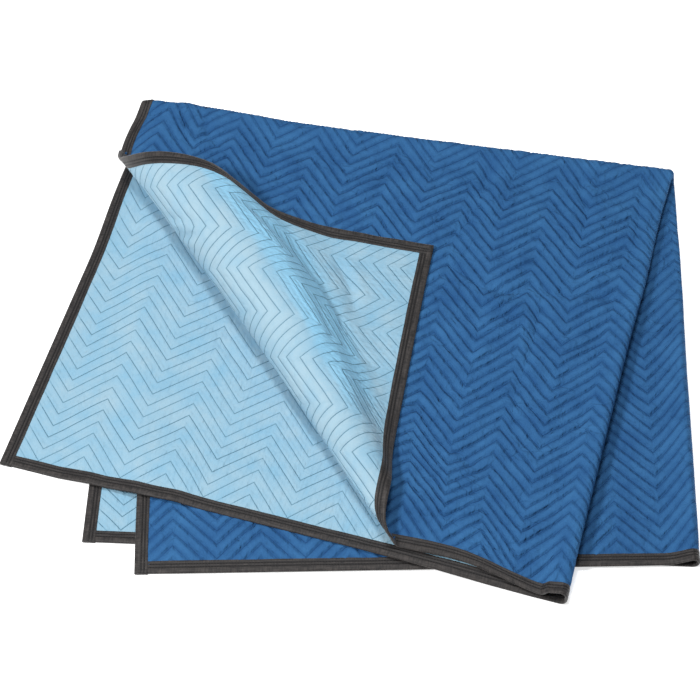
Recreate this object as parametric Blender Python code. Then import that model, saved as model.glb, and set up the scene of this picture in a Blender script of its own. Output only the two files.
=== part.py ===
"""A quilted moving blanket, folded in four, with the free corner of its top layer rolled back.

The blanket is one rectangle of two quilted cloths inside a folded edge tape. Every piece is first
modelled flat, as it lies on a cutting table: x across the width, y along the length, z through the
thickness. It is then cut along its folds and each of its points is carried to the folded place by
fold_blanket(). Lengths are in millimetres until the last step, which turns them into metres.
"""

import math

import bmesh
import bpy
import numpy as np

# The flat blanket
WIDTH = 2032.0
LENGTH = 1851.0
HALF_THICKNESS = 3.0
CLEARANCE = 1.0
TAPE_COVER = 22.0
TAPE_THICKNESS = 1.2
HEM_HALF_THICKNESS = 0.8
HEM_SETBACK = 1.0
CLOTH_GAP = 0.35

# The stack: distance between the middles of two layers, and the length over which a layer comes down
# past the edge of the one beneath it
PITCH = 7.5
DROP_RUN = 55.0
DROP_CUTS = (0.0, 0.5 * DROP_RUN, DROP_RUN)

# First fold: its line leaves the near edge at SIDE_FOLD_X and leans towards the left edge
SIDE_FOLD_X = 1063.0
SIDE_FOLD_LEAN = math.radians(-1.78)
# Second fold: its line leaves the left edge at TOP_FOLD_Y and falls towards the first fold
TOP_FOLD_Y = 991.0
TOP_FOLD_LEAN = math.radians(-6.55)
# The front pair has slipped round the right end of the second fold; the distances past that fold
# over which the slip builds up, in the lower layer and in the top one
FRONT_SLIP = math.radians(3.11)
LOWER_SLIP_RUN = (0.0, 320.0)
UPPER_SLIP_RUN = (100.0, 520.0)
# Between these distances from the first fold, the top layer stops slipping with the one beneath it
SLIP_SPREAD = (20.0, 200.0)
# The left end of the second fold is gathered inwards, over these lengths along and across the fold
GATHER = 20.0
GATHER_ALONG = 180.0
GATHER_ACROSS = 110.0

# Loops of the two folds: bend radius, the turn past half a circle, and the radius of the way back
SIDE_LOOP_RADIUS = 10.5
SIDE_LOOP_EXTRA = math.radians(20.0)
SIDE_LOOP_EASE = 60.0
SIDE_LOOP_OPENS = (160.0, 480.0)
TOP_LOOP_RADIUS = 14.0
TOP_LOOP_EXTRA = math.radians(8.0)
TOP_LOOP_EASE = 150.0

# Rolled corner: where its line crosses the flat blanket, and where that line lies after folding
CREASE_LEFT = (0.0, 1172.0)
CREASE_NEAR = (655.0, LENGTH)
CREASE_LEFT_PLACE = (-28.0, 797.0)
CREASE_NEAR_PLACE = (518.0, 4.5)
CREASE_BLEND = (-260.0, -70.0)
CREASE_TOP_BLEND = (15.0, 120.0)
# Section of the roll, from the lower layer round to the flat corner: run length, turn in degrees
ROLL_SECTION = (
    (60.0, 90.0),
    (45.0, 30.0),
    (73.0, 60.0),
    (60.0, 50.0),
)
ROLL_SLOPE = math.radians(50.0)
ROLL_EASE = 115.0
# The roll is full size up to the first distance along the crease and ROLL_END_SIZE at the second
ROLL_TAPER = (335.0, 1100.0)
ROLL_END_SIZE = 0.31
# The rolled corner is turned a little in its plane: shift along the crease for each length beyond it
ROLL_SKEW = 0.043

# Middle of the folded blanket's box, measured from the corner of the bottom layer
FOLDED_CENTRE = (439.5, 448.5)
HEADING = math.radians(-2.74)
MM = 0.001

COLLECTION = "moving_blanket"
LIGHT_BLUE = (0.38, 0.69, 0.84)
DARK_BLUE = (0.04, 0.12, 0.31)
TAPE_BLACK = (0.035, 0.03, 0.028)
CLOTH_ROUGHNESS = 0.85
TAPE_ROUGHNESS = 0.6
SHARP_ANGLE = math.radians(35.0)


def smooth(value, start, end):
    """0 before start, 1 after end, and an even S-curve between them."""
    share = np.clip((value - start) / (end - start), 0.0, 1.0)
    return share * share * (3.0 - 2.0 * share)


def follow(distance, runs):
    """Forward, up and heading at a distance along a path of (length, turn) runs that starts level.

    The path goes on straight before its first run and after its last one.
    """
    forward = np.minimum(distance, 0.0)
    up = np.zeros_like(distance)
    heading = np.zeros_like(distance)
    done = 0.0
    for length, turn in runs:
        step = np.clip(distance - done, 0.0, length)
        bend = turn * step / length
        chord = step * np.sinc(bend / 2.0 / math.pi)
        forward = forward + chord * np.cos(heading + bend / 2.0)
        up = up + chord * np.sin(heading + bend / 2.0)
        heading = heading + bend
        done = done + length
    beyond = np.maximum(distance - done, 0.0)
    return forward + beyond * np.cos(heading), up + beyond * np.sin(heading), heading


def loop_runs(radius, extra, ease, rise):
    """Runs of a folded edge: round past half a circle, down a slope, and level again at rise."""
    slope = (radius * (1 + np.cos(extra)) - ease * (1 - np.cos(extra)) - rise) / np.sin(extra)
    return (
        (radius * (math.pi + extra), math.pi + extra),
        (slope, np.zeros_like(slope)),
        (ease * extra, -extra),
    )


def folded_edge(distance, runs):
    """Section of a fold whose upper layer lies exactly over the lower one's mirror image."""
    total = sum(length for length, _ in runs)
    reach, _, _ = follow(total, runs)
    start = -(total + reach) / 2.0
    forward, up, heading = follow(distance - start, runs)
    return start + forward, up, heading


def side_fold(across, top_distance):
    """Section of the first fold: forward and up, with its loop opening away from the second fold.

    Past the second fold the pair is upside down, so there the loop bulges to the other side.
    """
    side = np.where(top_distance > 0.0, -1.0, 1.0)
    opened = np.maximum(smooth(np.abs(top_distance), *SIDE_LOOP_OPENS), 0.001)
    flat_radius = PITCH / 2.0
    runs = loop_runs(
        flat_radius + opened * (SIDE_LOOP_RADIUS - flat_radius),
        opened * SIDE_LOOP_EXTRA,
        SIDE_LOOP_EASE,
        PITCH,
    )
    forward, up, _ = folded_edge(across * side, runs)
    return forward, np.where(side < 0.0, PITCH - up, up)


def axes(angle):
    """Unit vectors along and across a line that leans by angle."""
    return np.array([math.cos(angle), math.sin(angle)]), np.array([-math.sin(angle), math.cos(angle)])


SIDE_ALONG, SIDE_BACK = axes(math.pi / 2.0 - SIDE_FOLD_LEAN)
SIDE_OUT = -SIDE_BACK
TOP_ALONG, TOP_OUT = axes(TOP_FOLD_LEAN)
SIDE_POINT = np.array([SIDE_FOLD_X, 0.0])
TOP_POINT = np.array([0.0, TOP_FOLD_Y])
FOLD_CROSSING = TOP_POINT + TOP_ALONG * SIDE_FOLD_X


def mirrored(point, on_line, across):
    """Mirror image of points in the line through on_line whose unit normal is across."""
    return point - 2.0 * ((point - on_line) @ across)[..., None] * across


def turned(point, centre, angle):
    """Points turned round a centre, by one angle or by one for each."""
    offset = point - centre
    cosine, sine = np.cos(angle), np.sin(angle)
    x = offset[..., 0] * cosine - offset[..., 1] * sine
    y = offset[..., 0] * sine + offset[..., 1] * cosine
    return centre + np.stack([x, y], -1)


def flat_front(point):
    """Place of a point of the front pair when both folds are taken as sharp."""
    return turned(mirrored(point, TOP_POINT, TOP_OUT), FOLD_CROSSING, FRONT_SLIP)


def edge_cover(place, corner, along_left, along_near):
    """1 over a layer, falling to 0 past its left and near edges; the two directions leave its corner."""
    left_out = np.array([-along_left[1], along_left[0]])
    near_out = np.array([along_near[1], -along_near[0]])
    offset = place - corner
    outside = np.maximum(offset @ left_out, offset @ near_out)
    bends = np.array(DROP_CUTS)
    return 1.0 - np.interp(outside, bends, smooth(bends, 0.0, DROP_RUN))


def layer_frames():
    """Corner, left edge direction and near edge direction of the three lower layers, from the floor up."""
    corner4, left4, near4 = np.array([[0.0, 0.0], [0.0, 100.0], [100.0, 0.0]])
    width = np.array([WIDTH, 0.0])
    far_side = np.stack([width, width + left4, width - near4])
    third = mirrored(far_side, SIDE_POINT, SIDE_OUT)
    length = np.array([0.0, LENGTH])
    end_side = np.stack([width + length, width + length - left4, width + length - near4])
    second = flat_front(mirrored(end_side, SIDE_POINT, SIDE_OUT))
    frames = []
    for corner, left, near in (np.stack([corner4, left4, near4]), third, second):
        frames.append((corner, (left - corner) / 100.0, (near - corner) / 100.0))
    return frames


LAYERS = layer_frames()


def missing_height(place, height):
    """How far a point at a height in the full stack comes down, where layers beneath it are missing."""
    lower = np.zeros(len(place))
    for number, frame in enumerate(LAYERS):
        above = np.clip(height / PITCH - number, 0.0, 1.0)
        lower = lower + above * PITCH * (1.0 - edge_cover(place, *frame))
    return lower


def crease_frame(start, end):
    """Start point, unit vector along and unit vector to the left of the line from start to end."""
    start, end = np.array(start), np.array(end)
    along = (end - start) / np.linalg.norm(end - start)
    return start, along, np.array([-along[1], along[0]])


CREASE_START, CREASE_ALONG, CREASE_OUT = crease_frame(CREASE_LEFT, CREASE_NEAR)
PLACE_START, PLACE_ALONG, PLACE_IN = crease_frame(CREASE_LEFT_PLACE, CREASE_NEAR_PLACE)
CREASE_STRETCH = math.dist(CREASE_LEFT_PLACE, CREASE_NEAR_PLACE) / math.dist(CREASE_LEFT, CREASE_NEAR)


def roll_section(beyond, size):
    """Place across the crease and height of the rolled corner at a distance beyond the crease line."""
    runs = [(length * size, math.radians(turn) + 0.0 * size) for length, turn in ROLL_SECTION]
    back = ROLL_SLOPE
    total = sum(length for length, _ in runs)
    _, top, _ = follow(total, runs)
    slope = (top - ROLL_EASE * size * (1 - math.cos(back)) - PITCH) / math.sin(back)
    runs += [(slope, 0.0 * size), (ROLL_EASE * size * back, -back + 0.0 * size)]
    start = -ROLL_SECTION[0][0] * size
    forward, up, _ = follow(beyond - start, runs)
    return -(start + forward), up


def rolled_corner(flat, place, height, past_top):
    """Moves the free corner of the top layer: it is drawn to the crease line and rolled back over it."""
    offset = flat - CREASE_START
    along = offset @ CREASE_ALONG
    beyond = offset @ CREASE_OUT
    size = 1.0 - (1.0 - ROLL_END_SIZE) * smooth(along, *ROLL_TAPER)
    inward, up = roll_section(beyond, size)
    along = along * CREASE_STRETCH - ROLL_SKEW * np.maximum(beyond, 0.0)
    rolled = PLACE_START + np.outer(along, PLACE_ALONG) + np.outer(inward, PLACE_IN)
    share = smooth(beyond, *CREASE_BLEND) * smooth(past_top, *CREASE_TOP_BLEND)
    share = share * (height > 2.5 * PITCH)
    return place + share[:, None] * (rolled - place), height + share * up


def middle_surface(flat):
    """Folded place of points of the blanket's middle surface, in millimetres."""
    from_side = flat - SIDE_POINT
    across = from_side @ SIDE_OUT
    foot = flat - across[:, None] * SIDE_OUT
    near_place = foot - np.abs(across)[:, None] * SIDE_OUT
    forward, level = side_fold(across, (near_place - TOP_POINT) @ TOP_OUT)
    pair = foot + forward[:, None] * SIDE_OUT

    beyond = (pair - TOP_POINT) @ TOP_OUT
    zero = np.zeros_like(beyond)
    runs = loop_runs(TOP_LOOP_RADIUS + zero, TOP_LOOP_EXTRA + zero, TOP_LOOP_EASE, 3.0 * PITCH)
    outward, up, heading = folded_edge(beyond, runs)
    outward = outward - level * np.sin(heading)
    height = up + level * np.cos(heading)
    place = pair + (outward - beyond)[:, None] * TOP_OUT
    lower = np.clip(level / PITCH, 1.0 - smooth(np.abs(across), *SLIP_SPREAD), 1.0)
    slip = lower * smooth(-outward, *LOWER_SLIP_RUN) + (1.0 - lower) * smooth(-outward, *UPPER_SLIP_RUN)
    place = turned(place, FOLD_CROSSING, FRONT_SLIP * slip * (heading > math.pi / 2.0))
    along_top = (pair - TOP_POINT) @ TOP_ALONG
    gather = GATHER * np.exp(-((outward / GATHER_ACROSS) ** 2)) * (1.0 - smooth(along_top, 0.0, GATHER_ALONG))
    place = place + np.outer(gather, TOP_ALONG)

    place, height = rolled_corner(flat, place, height, -outward * (heading > math.pi / 2.0))
    height = height - missing_height(place, height)
    return np.column_stack([place, height + HALF_THICKNESS])


def fold_blanket(points):
    """Folded places, in metres, of points of the flat blanket given as x, y and height in millimetres."""
    flat = points[:, :2]
    probe = 0.5
    centre = middle_surface(flat)
    side_step = np.array([probe, 0.0])
    end_step = np.array([0.0, probe])
    along_x = middle_surface(flat + side_step) - middle_surface(flat - side_step)
    along_y = middle_surface(flat + end_step) - middle_surface(flat - end_step)
    normal = np.cross(along_x, along_y)
    normal /= np.linalg.norm(normal, axis=1)[:, None]
    folded = centre + normal * points[:, 2:]
    folded[:, :2] = turned(folded[:, :2] - np.array(FOLDED_CENTRE), np.zeros(2), HEADING)
    return folded * MM


# Distances of the cuts beside each fold line: round the loops, down their slopes, and over the roll
SIDE_CUTS = (-19.0, -13.0, -6.5, 6.5, 13.0, 19.0)
SIDE_SLOPE_CUTS = (46.0, 57.0, 67.0)
TOP_CUTS = (-480.0, -240.0, -110.0, -22.0, -14.5, -7.0, 8.0, 16.0, 24.0, 52.0, 73.0)
TOP_SLIP_CUTS = (110.0, 160.0, 240.0, 320.0, 500.0)
CREASE_BLEND_CUTS = (-260.0, -190.0, -120.0)
CREASE_CUTS = (-60.0, -48.0, -36.0, -24.0, -12.0, 0.0, 15.0, 30.0, 45.0, 63.0, 81.0, 100.0, 118.0)
CREASE_SLOPE_CUTS = (138.0, 158.0, 178.0, 206.0, 234.0, 254.0, 274.0, 294.0, 314.0, 334.0)
CREASE_CROSS_STEP = 130.0


def side_of(point):
    """Whether a flat point lies past the first fold, and its place when only that fold is made."""
    past = (point - SIDE_POINT) @ SIDE_OUT > 0.0
    return past, mirrored(point, SIDE_POINT, SIDE_OUT) if past else point


def quarter(point):
    """The layer that a flat point belongs to, 0 on the floor to 3 on top."""
    past, place = side_of(point)
    front = (place - TOP_POINT) @ TOP_OUT > 0.0
    return (2 if past else 3) if front else (1 if past else 0)


def unfolded(place, layer):
    """Flat point of a place in a layer, with both folds taken as sharp."""
    point = place
    if layer >= 2:
        point = mirrored(turned(point, FOLD_CROSSING, -FRONT_SLIP), TOP_POINT, TOP_OUT)
    return mirrored(point, SIDE_POINT, SIDE_OUT) if layer in (1, 2) else point


def cut(mesh, point, across, wanted):
    """Cuts the faces of a flat mesh whose middles are wanted along an upright plane."""
    faces = [face for face in mesh.faces if wanted(np.array(face.calc_center_median()[:2]))]
    edges = {edge for face in faces for edge in face.edges}
    corners = {corner for face in faces for corner in face.verts}
    bmesh.ops.bisect_plane(
        mesh,
        geom=[*faces, *edges, *corners],
        dist=0.001,
        plane_co=(point[0], point[1], 0.0),
        plane_no=(across[0], across[1], 0.0),
    )


def cut_across_top(mesh, distance):
    """Cuts a flat mesh at a distance past the second fold, on a line that the first fold mirrors."""
    on_cut = TOP_POINT + distance * TOP_OUT
    across = mirrored(SIDE_POINT + TOP_OUT, SIDE_POINT, SIDE_OUT) - SIDE_POINT
    cut(mesh, on_cut, TOP_OUT, lambda point: not side_of(point)[0])
    cut(mesh, mirrored(on_cut, SIDE_POINT, SIDE_OUT), across, lambda point: side_of(point)[0])


def cut_side_fold(mesh):
    """Cuts a flat mesh along the bends of the first fold, after parting it into its four layers."""
    cut(mesh, SIDE_POINT, SIDE_OUT, lambda point: True)
    cut_across_top(mesh, 0.0)
    for distance in SIDE_CUTS:
        cut(mesh, SIDE_POINT + distance * SIDE_OUT, SIDE_OUT, lambda point: True)
    for distance in SIDE_SLOPE_CUTS:
        cut(mesh, SIDE_POINT + distance * SIDE_OUT, SIDE_OUT, lambda point: quarter(point) == 1)
        cut(mesh, SIDE_POINT - distance * SIDE_OUT, SIDE_OUT, lambda point: quarter(point) == 3)


def cut_top_fold(mesh):
    """Cuts a flat mesh along the bends of the second fold."""
    for distance in TOP_CUTS + TOP_SLIP_CUTS:
        cut_across_top(mesh, distance)


def cut_drops(mesh):
    """Cuts each layer where it comes down past the edges of the layers beneath it."""

    def over_edge(point):
        rolled = layer == 3 and (point - CREASE_START) @ CREASE_OUT > 0.0
        return quarter(point) == layer and not rolled

    for layer in (1, 2, 3):
        for corner, left, near in LAYERS[: min(layer, 2)]:
            for edge in (left, near):
                outward = np.array([-edge[1], edge[0]]) * (1.0 if edge is left else -1.0)
                for distance in DROP_CUTS:
                    start = unfolded(corner + distance * outward, layer)
                    end = unfolded(corner + distance * outward + edge, layer)
                    across = np.array([start[1] - end[1], end[0] - start[0]])
                    cut(mesh, start, across, over_edge)


def cut_roll(mesh):
    """Cuts the top layer along the bends of its rolled corner, and across them where it narrows."""
    length = math.dist(CREASE_LEFT, CREASE_NEAR)
    first, last = CREASE_CUTS[0], CREASE_SLOPE_CUTS[-1]
    for distance in CREASE_BLEND_CUTS + CREASE_CUTS + CREASE_SLOPE_CUTS:
        cut(mesh, CREASE_START + distance * CREASE_OUT, CREASE_OUT, lambda point: quarter(point) == 3)

    def in_roll(point):
        return quarter(point) == 3 and first < (point - CREASE_START) @ CREASE_OUT < last

    for number in range(1, int(length / CREASE_CROSS_STEP)):
        cut(mesh, CREASE_START + number * CREASE_CROSS_STEP * CREASE_ALONG, CREASE_ALONG, in_roll)


def make_material(name, colour, roughness):
    """Plain Principled material."""
    material = bpy.data.materials.new(name)
    material.use_nodes = True
    shader = material.node_tree.nodes["Principled BSDF"]
    shader.inputs["Base Color"].default_value = (*colour, 1.0)
    shader.inputs["Roughness"].default_value = roughness
    shader.inputs["Metallic"].default_value = 0.0
    return material


def flat_cloth():
    """One cloth laid flat above the middle: thin under the edge tape and full inside it."""
    inner = CLOTH_GAP / 2.0
    size = (WIDTH - 2.0 * HEM_SETBACK, LENGTH - 2.0 * HEM_SETBACK, HEM_HALF_THICKNESS - inner)
    mesh = bmesh.new()
    bmesh.ops.create_cube(mesh, size=1.0)
    bmesh.ops.scale(mesh, vec=size, verts=mesh.verts)
    bmesh.ops.translate(mesh, vec=(WIDTH / 2.0, LENGTH / 2.0, inner + size[2] / 2.0), verts=mesh.verts)
    top = max(mesh.faces, key=lambda face: face.calc_center_median().z)
    band = TAPE_COVER + CLEARANCE - HEM_SETBACK
    bmesh.ops.inset_region(mesh, faces=[top], thickness=band, use_even_offset=True)
    raised = bmesh.ops.extrude_face_region(mesh, geom=[top])["geom"]
    corners = [item for item in raised if isinstance(item, bmesh.types.BMVert)]
    bmesh.ops.translate(mesh, vec=(0.0, 0.0, HALF_THICKNESS - HEM_HALF_THICKNESS), verts=corners)
    bmesh.ops.delete(mesh, geom=[top], context="FACES_ONLY")
    return mesh


def flat_tape(start, end):
    """A strip of tape folded over the flat edge that runs from start to end, with the cloth on its right."""
    start, end = np.array(start), np.array(end)
    along = end - start
    inward = np.array([along[1], -along[0]]) / np.linalg.norm(along)
    slot = HALF_THICKNESS - TAPE_THICKNESS
    outline = (
        (TAPE_COVER, HALF_THICKNESS),
        (-TAPE_THICKNESS, HALF_THICKNESS),
        (-TAPE_THICKNESS, -HALF_THICKNESS),
        (TAPE_COVER, -HALF_THICKNESS),
        (TAPE_COVER, -slot),
        (0.0, -slot),
        (0.0, slot),
        (TAPE_COVER, slot),
    )
    mesh = bmesh.new()
    section = mesh.faces.new([mesh.verts.new((*(start + off * inward), up)) for off, up in outline])
    pulled = bmesh.ops.extrude_face_region(mesh, geom=[section], use_keep_orig=True)["geom"]
    corners = [item for item in pulled if isinstance(item, bmesh.types.BMVert)]
    bmesh.ops.translate(mesh, vec=(*along, 0.0), verts=corners)
    bmesh.ops.recalc_face_normals(mesh, faces=mesh.faces)
    return mesh


def cut_folds(mesh):
    """Cuts a flat mesh into triangles along every fold."""
    middle = np.array([WIDTH, LENGTH]) / 2.0
    for across in (np.array([1.0, 0.0]), np.array([0.0, 1.0])):
        reach = middle @ across - CLEARANCE - TAPE_COVER
        for distance in (-reach, reach):
            cut(mesh, middle + distance * across, across, lambda point: True)
    cut_side_fold(mesh)
    cut_top_fold(mesh)
    cut_roll(mesh)
    cut_drops(mesh)
    bmesh.ops.triangulate(mesh, faces=mesh.faces)
    return mesh


def turned_over(mesh):
    """A copy of a flat mesh on the other side of the middle."""
    copy = mesh.copy()
    bmesh.ops.scale(copy, vec=(1.0, 1.0, -1.0), verts=copy.verts)
    bmesh.ops.reverse_faces(copy, faces=copy.faces)
    return copy


def add_piece(name, mesh, colour, roughness, collection):
    """Folds a flat mesh that has been cut along the folds, and adds it as an object."""
    folded = fold_blanket(np.array([corner.co for corner in mesh.verts]))
    for corner, place in zip(mesh.verts, folded, strict=True):
        corner.co = place
    data = bpy.data.meshes.new(name)
    mesh.to_mesh(data)
    mesh.free()
    data.shade_smooth()
    data.set_sharp_from_angle(angle=SHARP_ANGLE)
    data.materials.append(make_material(name, colour, roughness))
    collection.objects.link(bpy.data.objects.new(name, data))


def main():
    """Builds the two cloths and the four strips of edge tape."""
    for thing in list(bpy.data.objects):
        bpy.data.objects.remove(thing)
    collection = bpy.data.collections.new(COLLECTION)
    bpy.context.scene.collection.children.link(collection)

    back = cut_folds(flat_cloth())
    face = turned_over(back)
    add_piece("back_cloth", back, LIGHT_BLUE, CLOTH_ROUGHNESS, collection)
    add_piece("face_cloth", face, DARK_BLUE, CLOTH_ROUGHNESS, collection)

    rear, front = -TAPE_THICKNESS, LENGTH + TAPE_THICKNESS
    left, right = TAPE_COVER + CLEARANCE, WIDTH - TAPE_COVER - CLEARANCE
    strips = {
        "tape_outer_side": ((0.0, rear), (0.0, front)),
        "tape_inner_side": ((WIDTH, front), (WIDTH, rear)),
        "tape_rear_end": ((right, 0.0), (left, 0.0)),
        "tape_front_end": ((left, LENGTH), (right, LENGTH)),
    }
    for name, ends in strips.items():
        add_piece(name, cut_folds(flat_tape(*ends)), TAPE_BLACK, TAPE_ROUGHNESS, collection)


if __name__ == "__main__":
    main()
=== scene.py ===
"""Looks of the folded moving blanket.

Two quilted cloths lie back to back inside a folded edge tape. Every piece is first laid out flat, as it
was cut, in millimetres: u across the width, v along the length and h through the thickness, with the
light side up. The same folding then carries all of them to their places, so they stay together.
"""

import logging
import math
from dataclasses import dataclass
from enum import Enum
from functools import cached_property
from typing import Any

import bmesh
import bpy
import numpy as np
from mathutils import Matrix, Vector


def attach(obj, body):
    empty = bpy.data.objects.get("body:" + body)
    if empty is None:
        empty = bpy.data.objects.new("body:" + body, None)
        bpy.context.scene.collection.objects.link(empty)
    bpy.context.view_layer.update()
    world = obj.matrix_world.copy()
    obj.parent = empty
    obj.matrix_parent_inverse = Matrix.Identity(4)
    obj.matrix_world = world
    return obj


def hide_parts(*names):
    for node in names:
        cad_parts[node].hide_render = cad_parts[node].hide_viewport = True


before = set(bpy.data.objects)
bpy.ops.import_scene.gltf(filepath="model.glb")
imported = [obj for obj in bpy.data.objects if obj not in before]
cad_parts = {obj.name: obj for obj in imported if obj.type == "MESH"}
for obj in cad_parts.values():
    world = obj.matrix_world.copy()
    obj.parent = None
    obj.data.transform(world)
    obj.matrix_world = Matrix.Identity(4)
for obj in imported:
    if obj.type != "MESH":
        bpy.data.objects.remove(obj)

Array = np.ndarray
Pair = tuple[float, float]
Band = Colour = tuple[float, float, float, float]
Material, Mesh, Object = bpy.types.Material, bpy.types.Mesh, bpy.types.Object

LOG = logging.getLogger("moving_blanket")
MM = 0.001
# The third name is a point attribute: worn places along the dark side's folds, and painted light on the
# light side's rolled corner
FLAT_UV, QUILT_UV, WEAR_AND_PAINTED_LIGHT = "flat", "quilt", "wear_and_painted_light"
MATH, VECTOR_MATH, SPAN = "ShaderNodeMath", "ShaderNodeVectorMath", "ShaderNodeMapRange"
MIX, NOISE, BUMP = "ShaderNodeMix", "ShaderNodeTexNoise", "ShaderNodeBump"


class Side(Enum):
    """The two sides of the blanket, with the direction in which each faces through the thickness."""

    LIGHT = 1.0
    DARK = -1.0


class Edge(Enum):
    """The four edges of the flat blanket."""

    OUTER_SIDE = "outer_side"
    INNER_SIDE = "inner_side"
    REAR_END = "rear_end"
    FRONT_END = "front_end"


def smooth(value: Any, start: float, end: float) -> Any:
    """Even S-curve between two values.

    Args:
        value: One number or an array of them.
        start: Where the result is 0.
        end: Where the result is 1.

    Returns:
        The share from 0 to 1.
    """
    share = np.clip((value - start) / (end - start), 0.0, 1.0)
    return share * share * (3.0 - 2.0 * share)


def between(first: Any, second: Any, share: Any) -> Any:
    """Value at a share of the way from first to second."""
    return first + (second - first) * share


def band(value: Any, start: float, full: float, fading: float, end: float) -> Any:
    """Share that rises from 0 at start to 1 at full, and falls again from fading to end."""
    return smooth(value, start, full) * (1.0 - smooth(value, fading, end))


def axes(angle: float) -> tuple[Array, Array]:
    """Unit vectors along and across a line that leans by angle."""
    return np.array([math.cos(angle), math.sin(angle)]), np.array([-math.sin(angle), math.cos(angle)])


def mirrored(point: Array, on_line: Array, across: Array) -> Array:
    """Mirror image of points in the line through on_line whose unit normal is across."""
    return point - 2.0 * ((point - on_line) @ across)[..., None] * across


def turned(point: Array, centre: Array, angle: Any) -> Array:
    """Points turned round a centre, by one angle or by one for each.

    Args:
        point: The points, two numbers each.
        centre: The centre.
        angle: One angle, or an array with one for each point.

    Returns:
        The turned points.
    """
    offset = point - centre
    cosine, sine = np.cos(angle), np.sin(angle)
    x = offset[..., 0] * cosine - offset[..., 1] * sine
    y = offset[..., 0] * sine + offset[..., 1] * cosine
    return centre + np.stack([x, y], -1)


def follow(distance: Array, runs: Any) -> tuple[Array, Array, Array]:
    """Walks along a path that starts level and is made of bent runs.

    Args:
        distance: Distances along the path.
        runs: Pairs of length and turn, which may be arrays like distance.

    Returns:
        Forward, up and heading at each distance.
    """
    forward = np.minimum(distance, 0.0)
    up = np.zeros_like(distance)
    heading = np.zeros_like(distance)
    done = 0.0
    for length, turn in runs:
        step = np.clip(distance - done, 0.0, length)
        bend = turn * step / length
        chord = step * np.sinc(bend / 2.0 / math.pi)
        forward = forward + chord * np.cos(heading + bend / 2.0)
        up = up + chord * np.sin(heading + bend / 2.0)
        heading = heading + bend
        done = done + length
    beyond = np.maximum(distance - done, 0.0)
    return forward + beyond * np.cos(heading), up + beyond * np.sin(heading), heading


def loop_runs(radius: Any, extra: Any, ease: float, rise: float) -> tuple:
    """Runs of a folded edge: round past half a circle, down a slope, and level again at rise.

    Args:
        radius: Radius of the round part.
        extra: Its turn past half a circle.
        ease: Radius of the last bend.
        rise: Height of the upper layer over the lower one.

    Returns:
        The three runs for follow.
    """
    slope = (radius * (1 + np.cos(extra)) - ease * (1 - np.cos(extra)) - rise) / np.sin(extra)
    return (
        (radius * (math.pi + extra), math.pi + extra),
        (slope, np.zeros_like(slope)),
        (ease * extra, -extra),
    )


def folded_edge(distance: Array, runs: Any) -> tuple[Array, Array, Array]:
    """Section of a fold whose upper layer lies exactly over the lower one's mirror image.

    Args:
        distance: Distances past the fold line.
        runs: The fold's runs.

    Returns:
        Forward, up and heading at each distance.
    """
    total = sum(length for length, _ in runs)
    reach, _, _ = follow(total, runs)
    start = -(total + reach) / 2.0
    forward, up, heading = follow(distance - start, runs)
    return start + forward, up, heading


@dataclass(frozen=True)
class Unevenness:
    """Smooth random heights from 0 to 1 over a plane, the same in every run."""

    seed: int
    size: Pair
    turn: float = 0.0
    cells: int = 64

    @cached_property
    def lattice(self) -> Array:
        """Heights at the corners of a repeating square of cells."""
        return np.random.default_rng(self.seed).random((self.cells, self.cells))

    def at(self, point: Array) -> Array:
        """Heights at points.

        Args:
            point: Places in millimetres, two numbers each.

        Returns:
            One height from 0 to 1 for each point.
        """
        along, across = axes(self.turn)
        x, y = point @ along / self.size[0], point @ across / self.size[1]
        left, low = np.floor(x).astype(int), np.floor(y).astype(int)
        sx, sy = smooth(x - left, 0.0, 1.0), smooth(y - low, 0.0, 1.0)
        corner, right, top, far = (
            self.lattice[(left + right) % self.cells, (low + up) % self.cells]
            for up, right in ((0, 0), (0, 1), (1, 0), (1, 1))
        )
        return between(between(corner, right, sx), between(top, far, sx), sy)


@dataclass(frozen=True)
class Crease:
    """A soft ridge, or a dent where rise is negative, along a bent line on the flat blanket."""

    rise: float
    width: float
    path: tuple[Pair, ...]
    fade: Band = (-0.02, 0.25, 0.75, 1.02)

    def at(self, flat: Array) -> Array:
        """Rise at flat points: full along the middle of the line, and fading at its sides and ends.

        Args:
            flat: Flat points in millimetres.

        Returns:
            The rise in millimetres at each point.
        """
        nearest = np.full(len(flat), np.inf)
        ends = np.zeros(len(flat))
        lengths = [math.dist(a, b) for a, b in zip(self.path, self.path[1:])]
        done = 0.0
        for start, end, length in zip(self.path, self.path[1:], lengths):
            along = (np.array(end) - np.array(start)) / length
            offset = flat - np.array(start)
            walked = np.clip(offset @ along, 0.0, length)
            away = np.linalg.norm(offset - np.outer(walked, along), axis=1)
            share = (done + walked) / sum(lengths)
            closer = away < nearest
            ends = np.where(closer, band(share, *self.fade), ends)
            nearest = np.where(closer, away, nearest)
            done += length
        return self.rise * ends * np.exp(-((nearest / self.width) ** 2))


def creases(*rows: tuple) -> tuple[Crease, ...]:
    """Creases from rows of rise, width and the points of the path."""
    return tuple(Crease(rise, width, tuple(path)) for rise, width, *path in rows)


@dataclass(frozen=True)
class Blanket:
    """Sizes of the flat blanket and of the stack it is folded into."""

    width: float = 2032.0
    length: float = 1851.0
    half_thickness: float = 3.0
    pitch: float = 7.5
    drop_run: float = 55.0
    centre: Pair = (439.5, 448.5)
    heading: float = math.radians(-2.74)

    def edge_distance(self, flat: Array) -> Array:
        """Distance of flat points inside the nearest edge."""
        u, v = flat[:, 0], flat[:, 1]
        return np.minimum(np.minimum(u, self.width - u), np.minimum(v, self.length - v))


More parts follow.
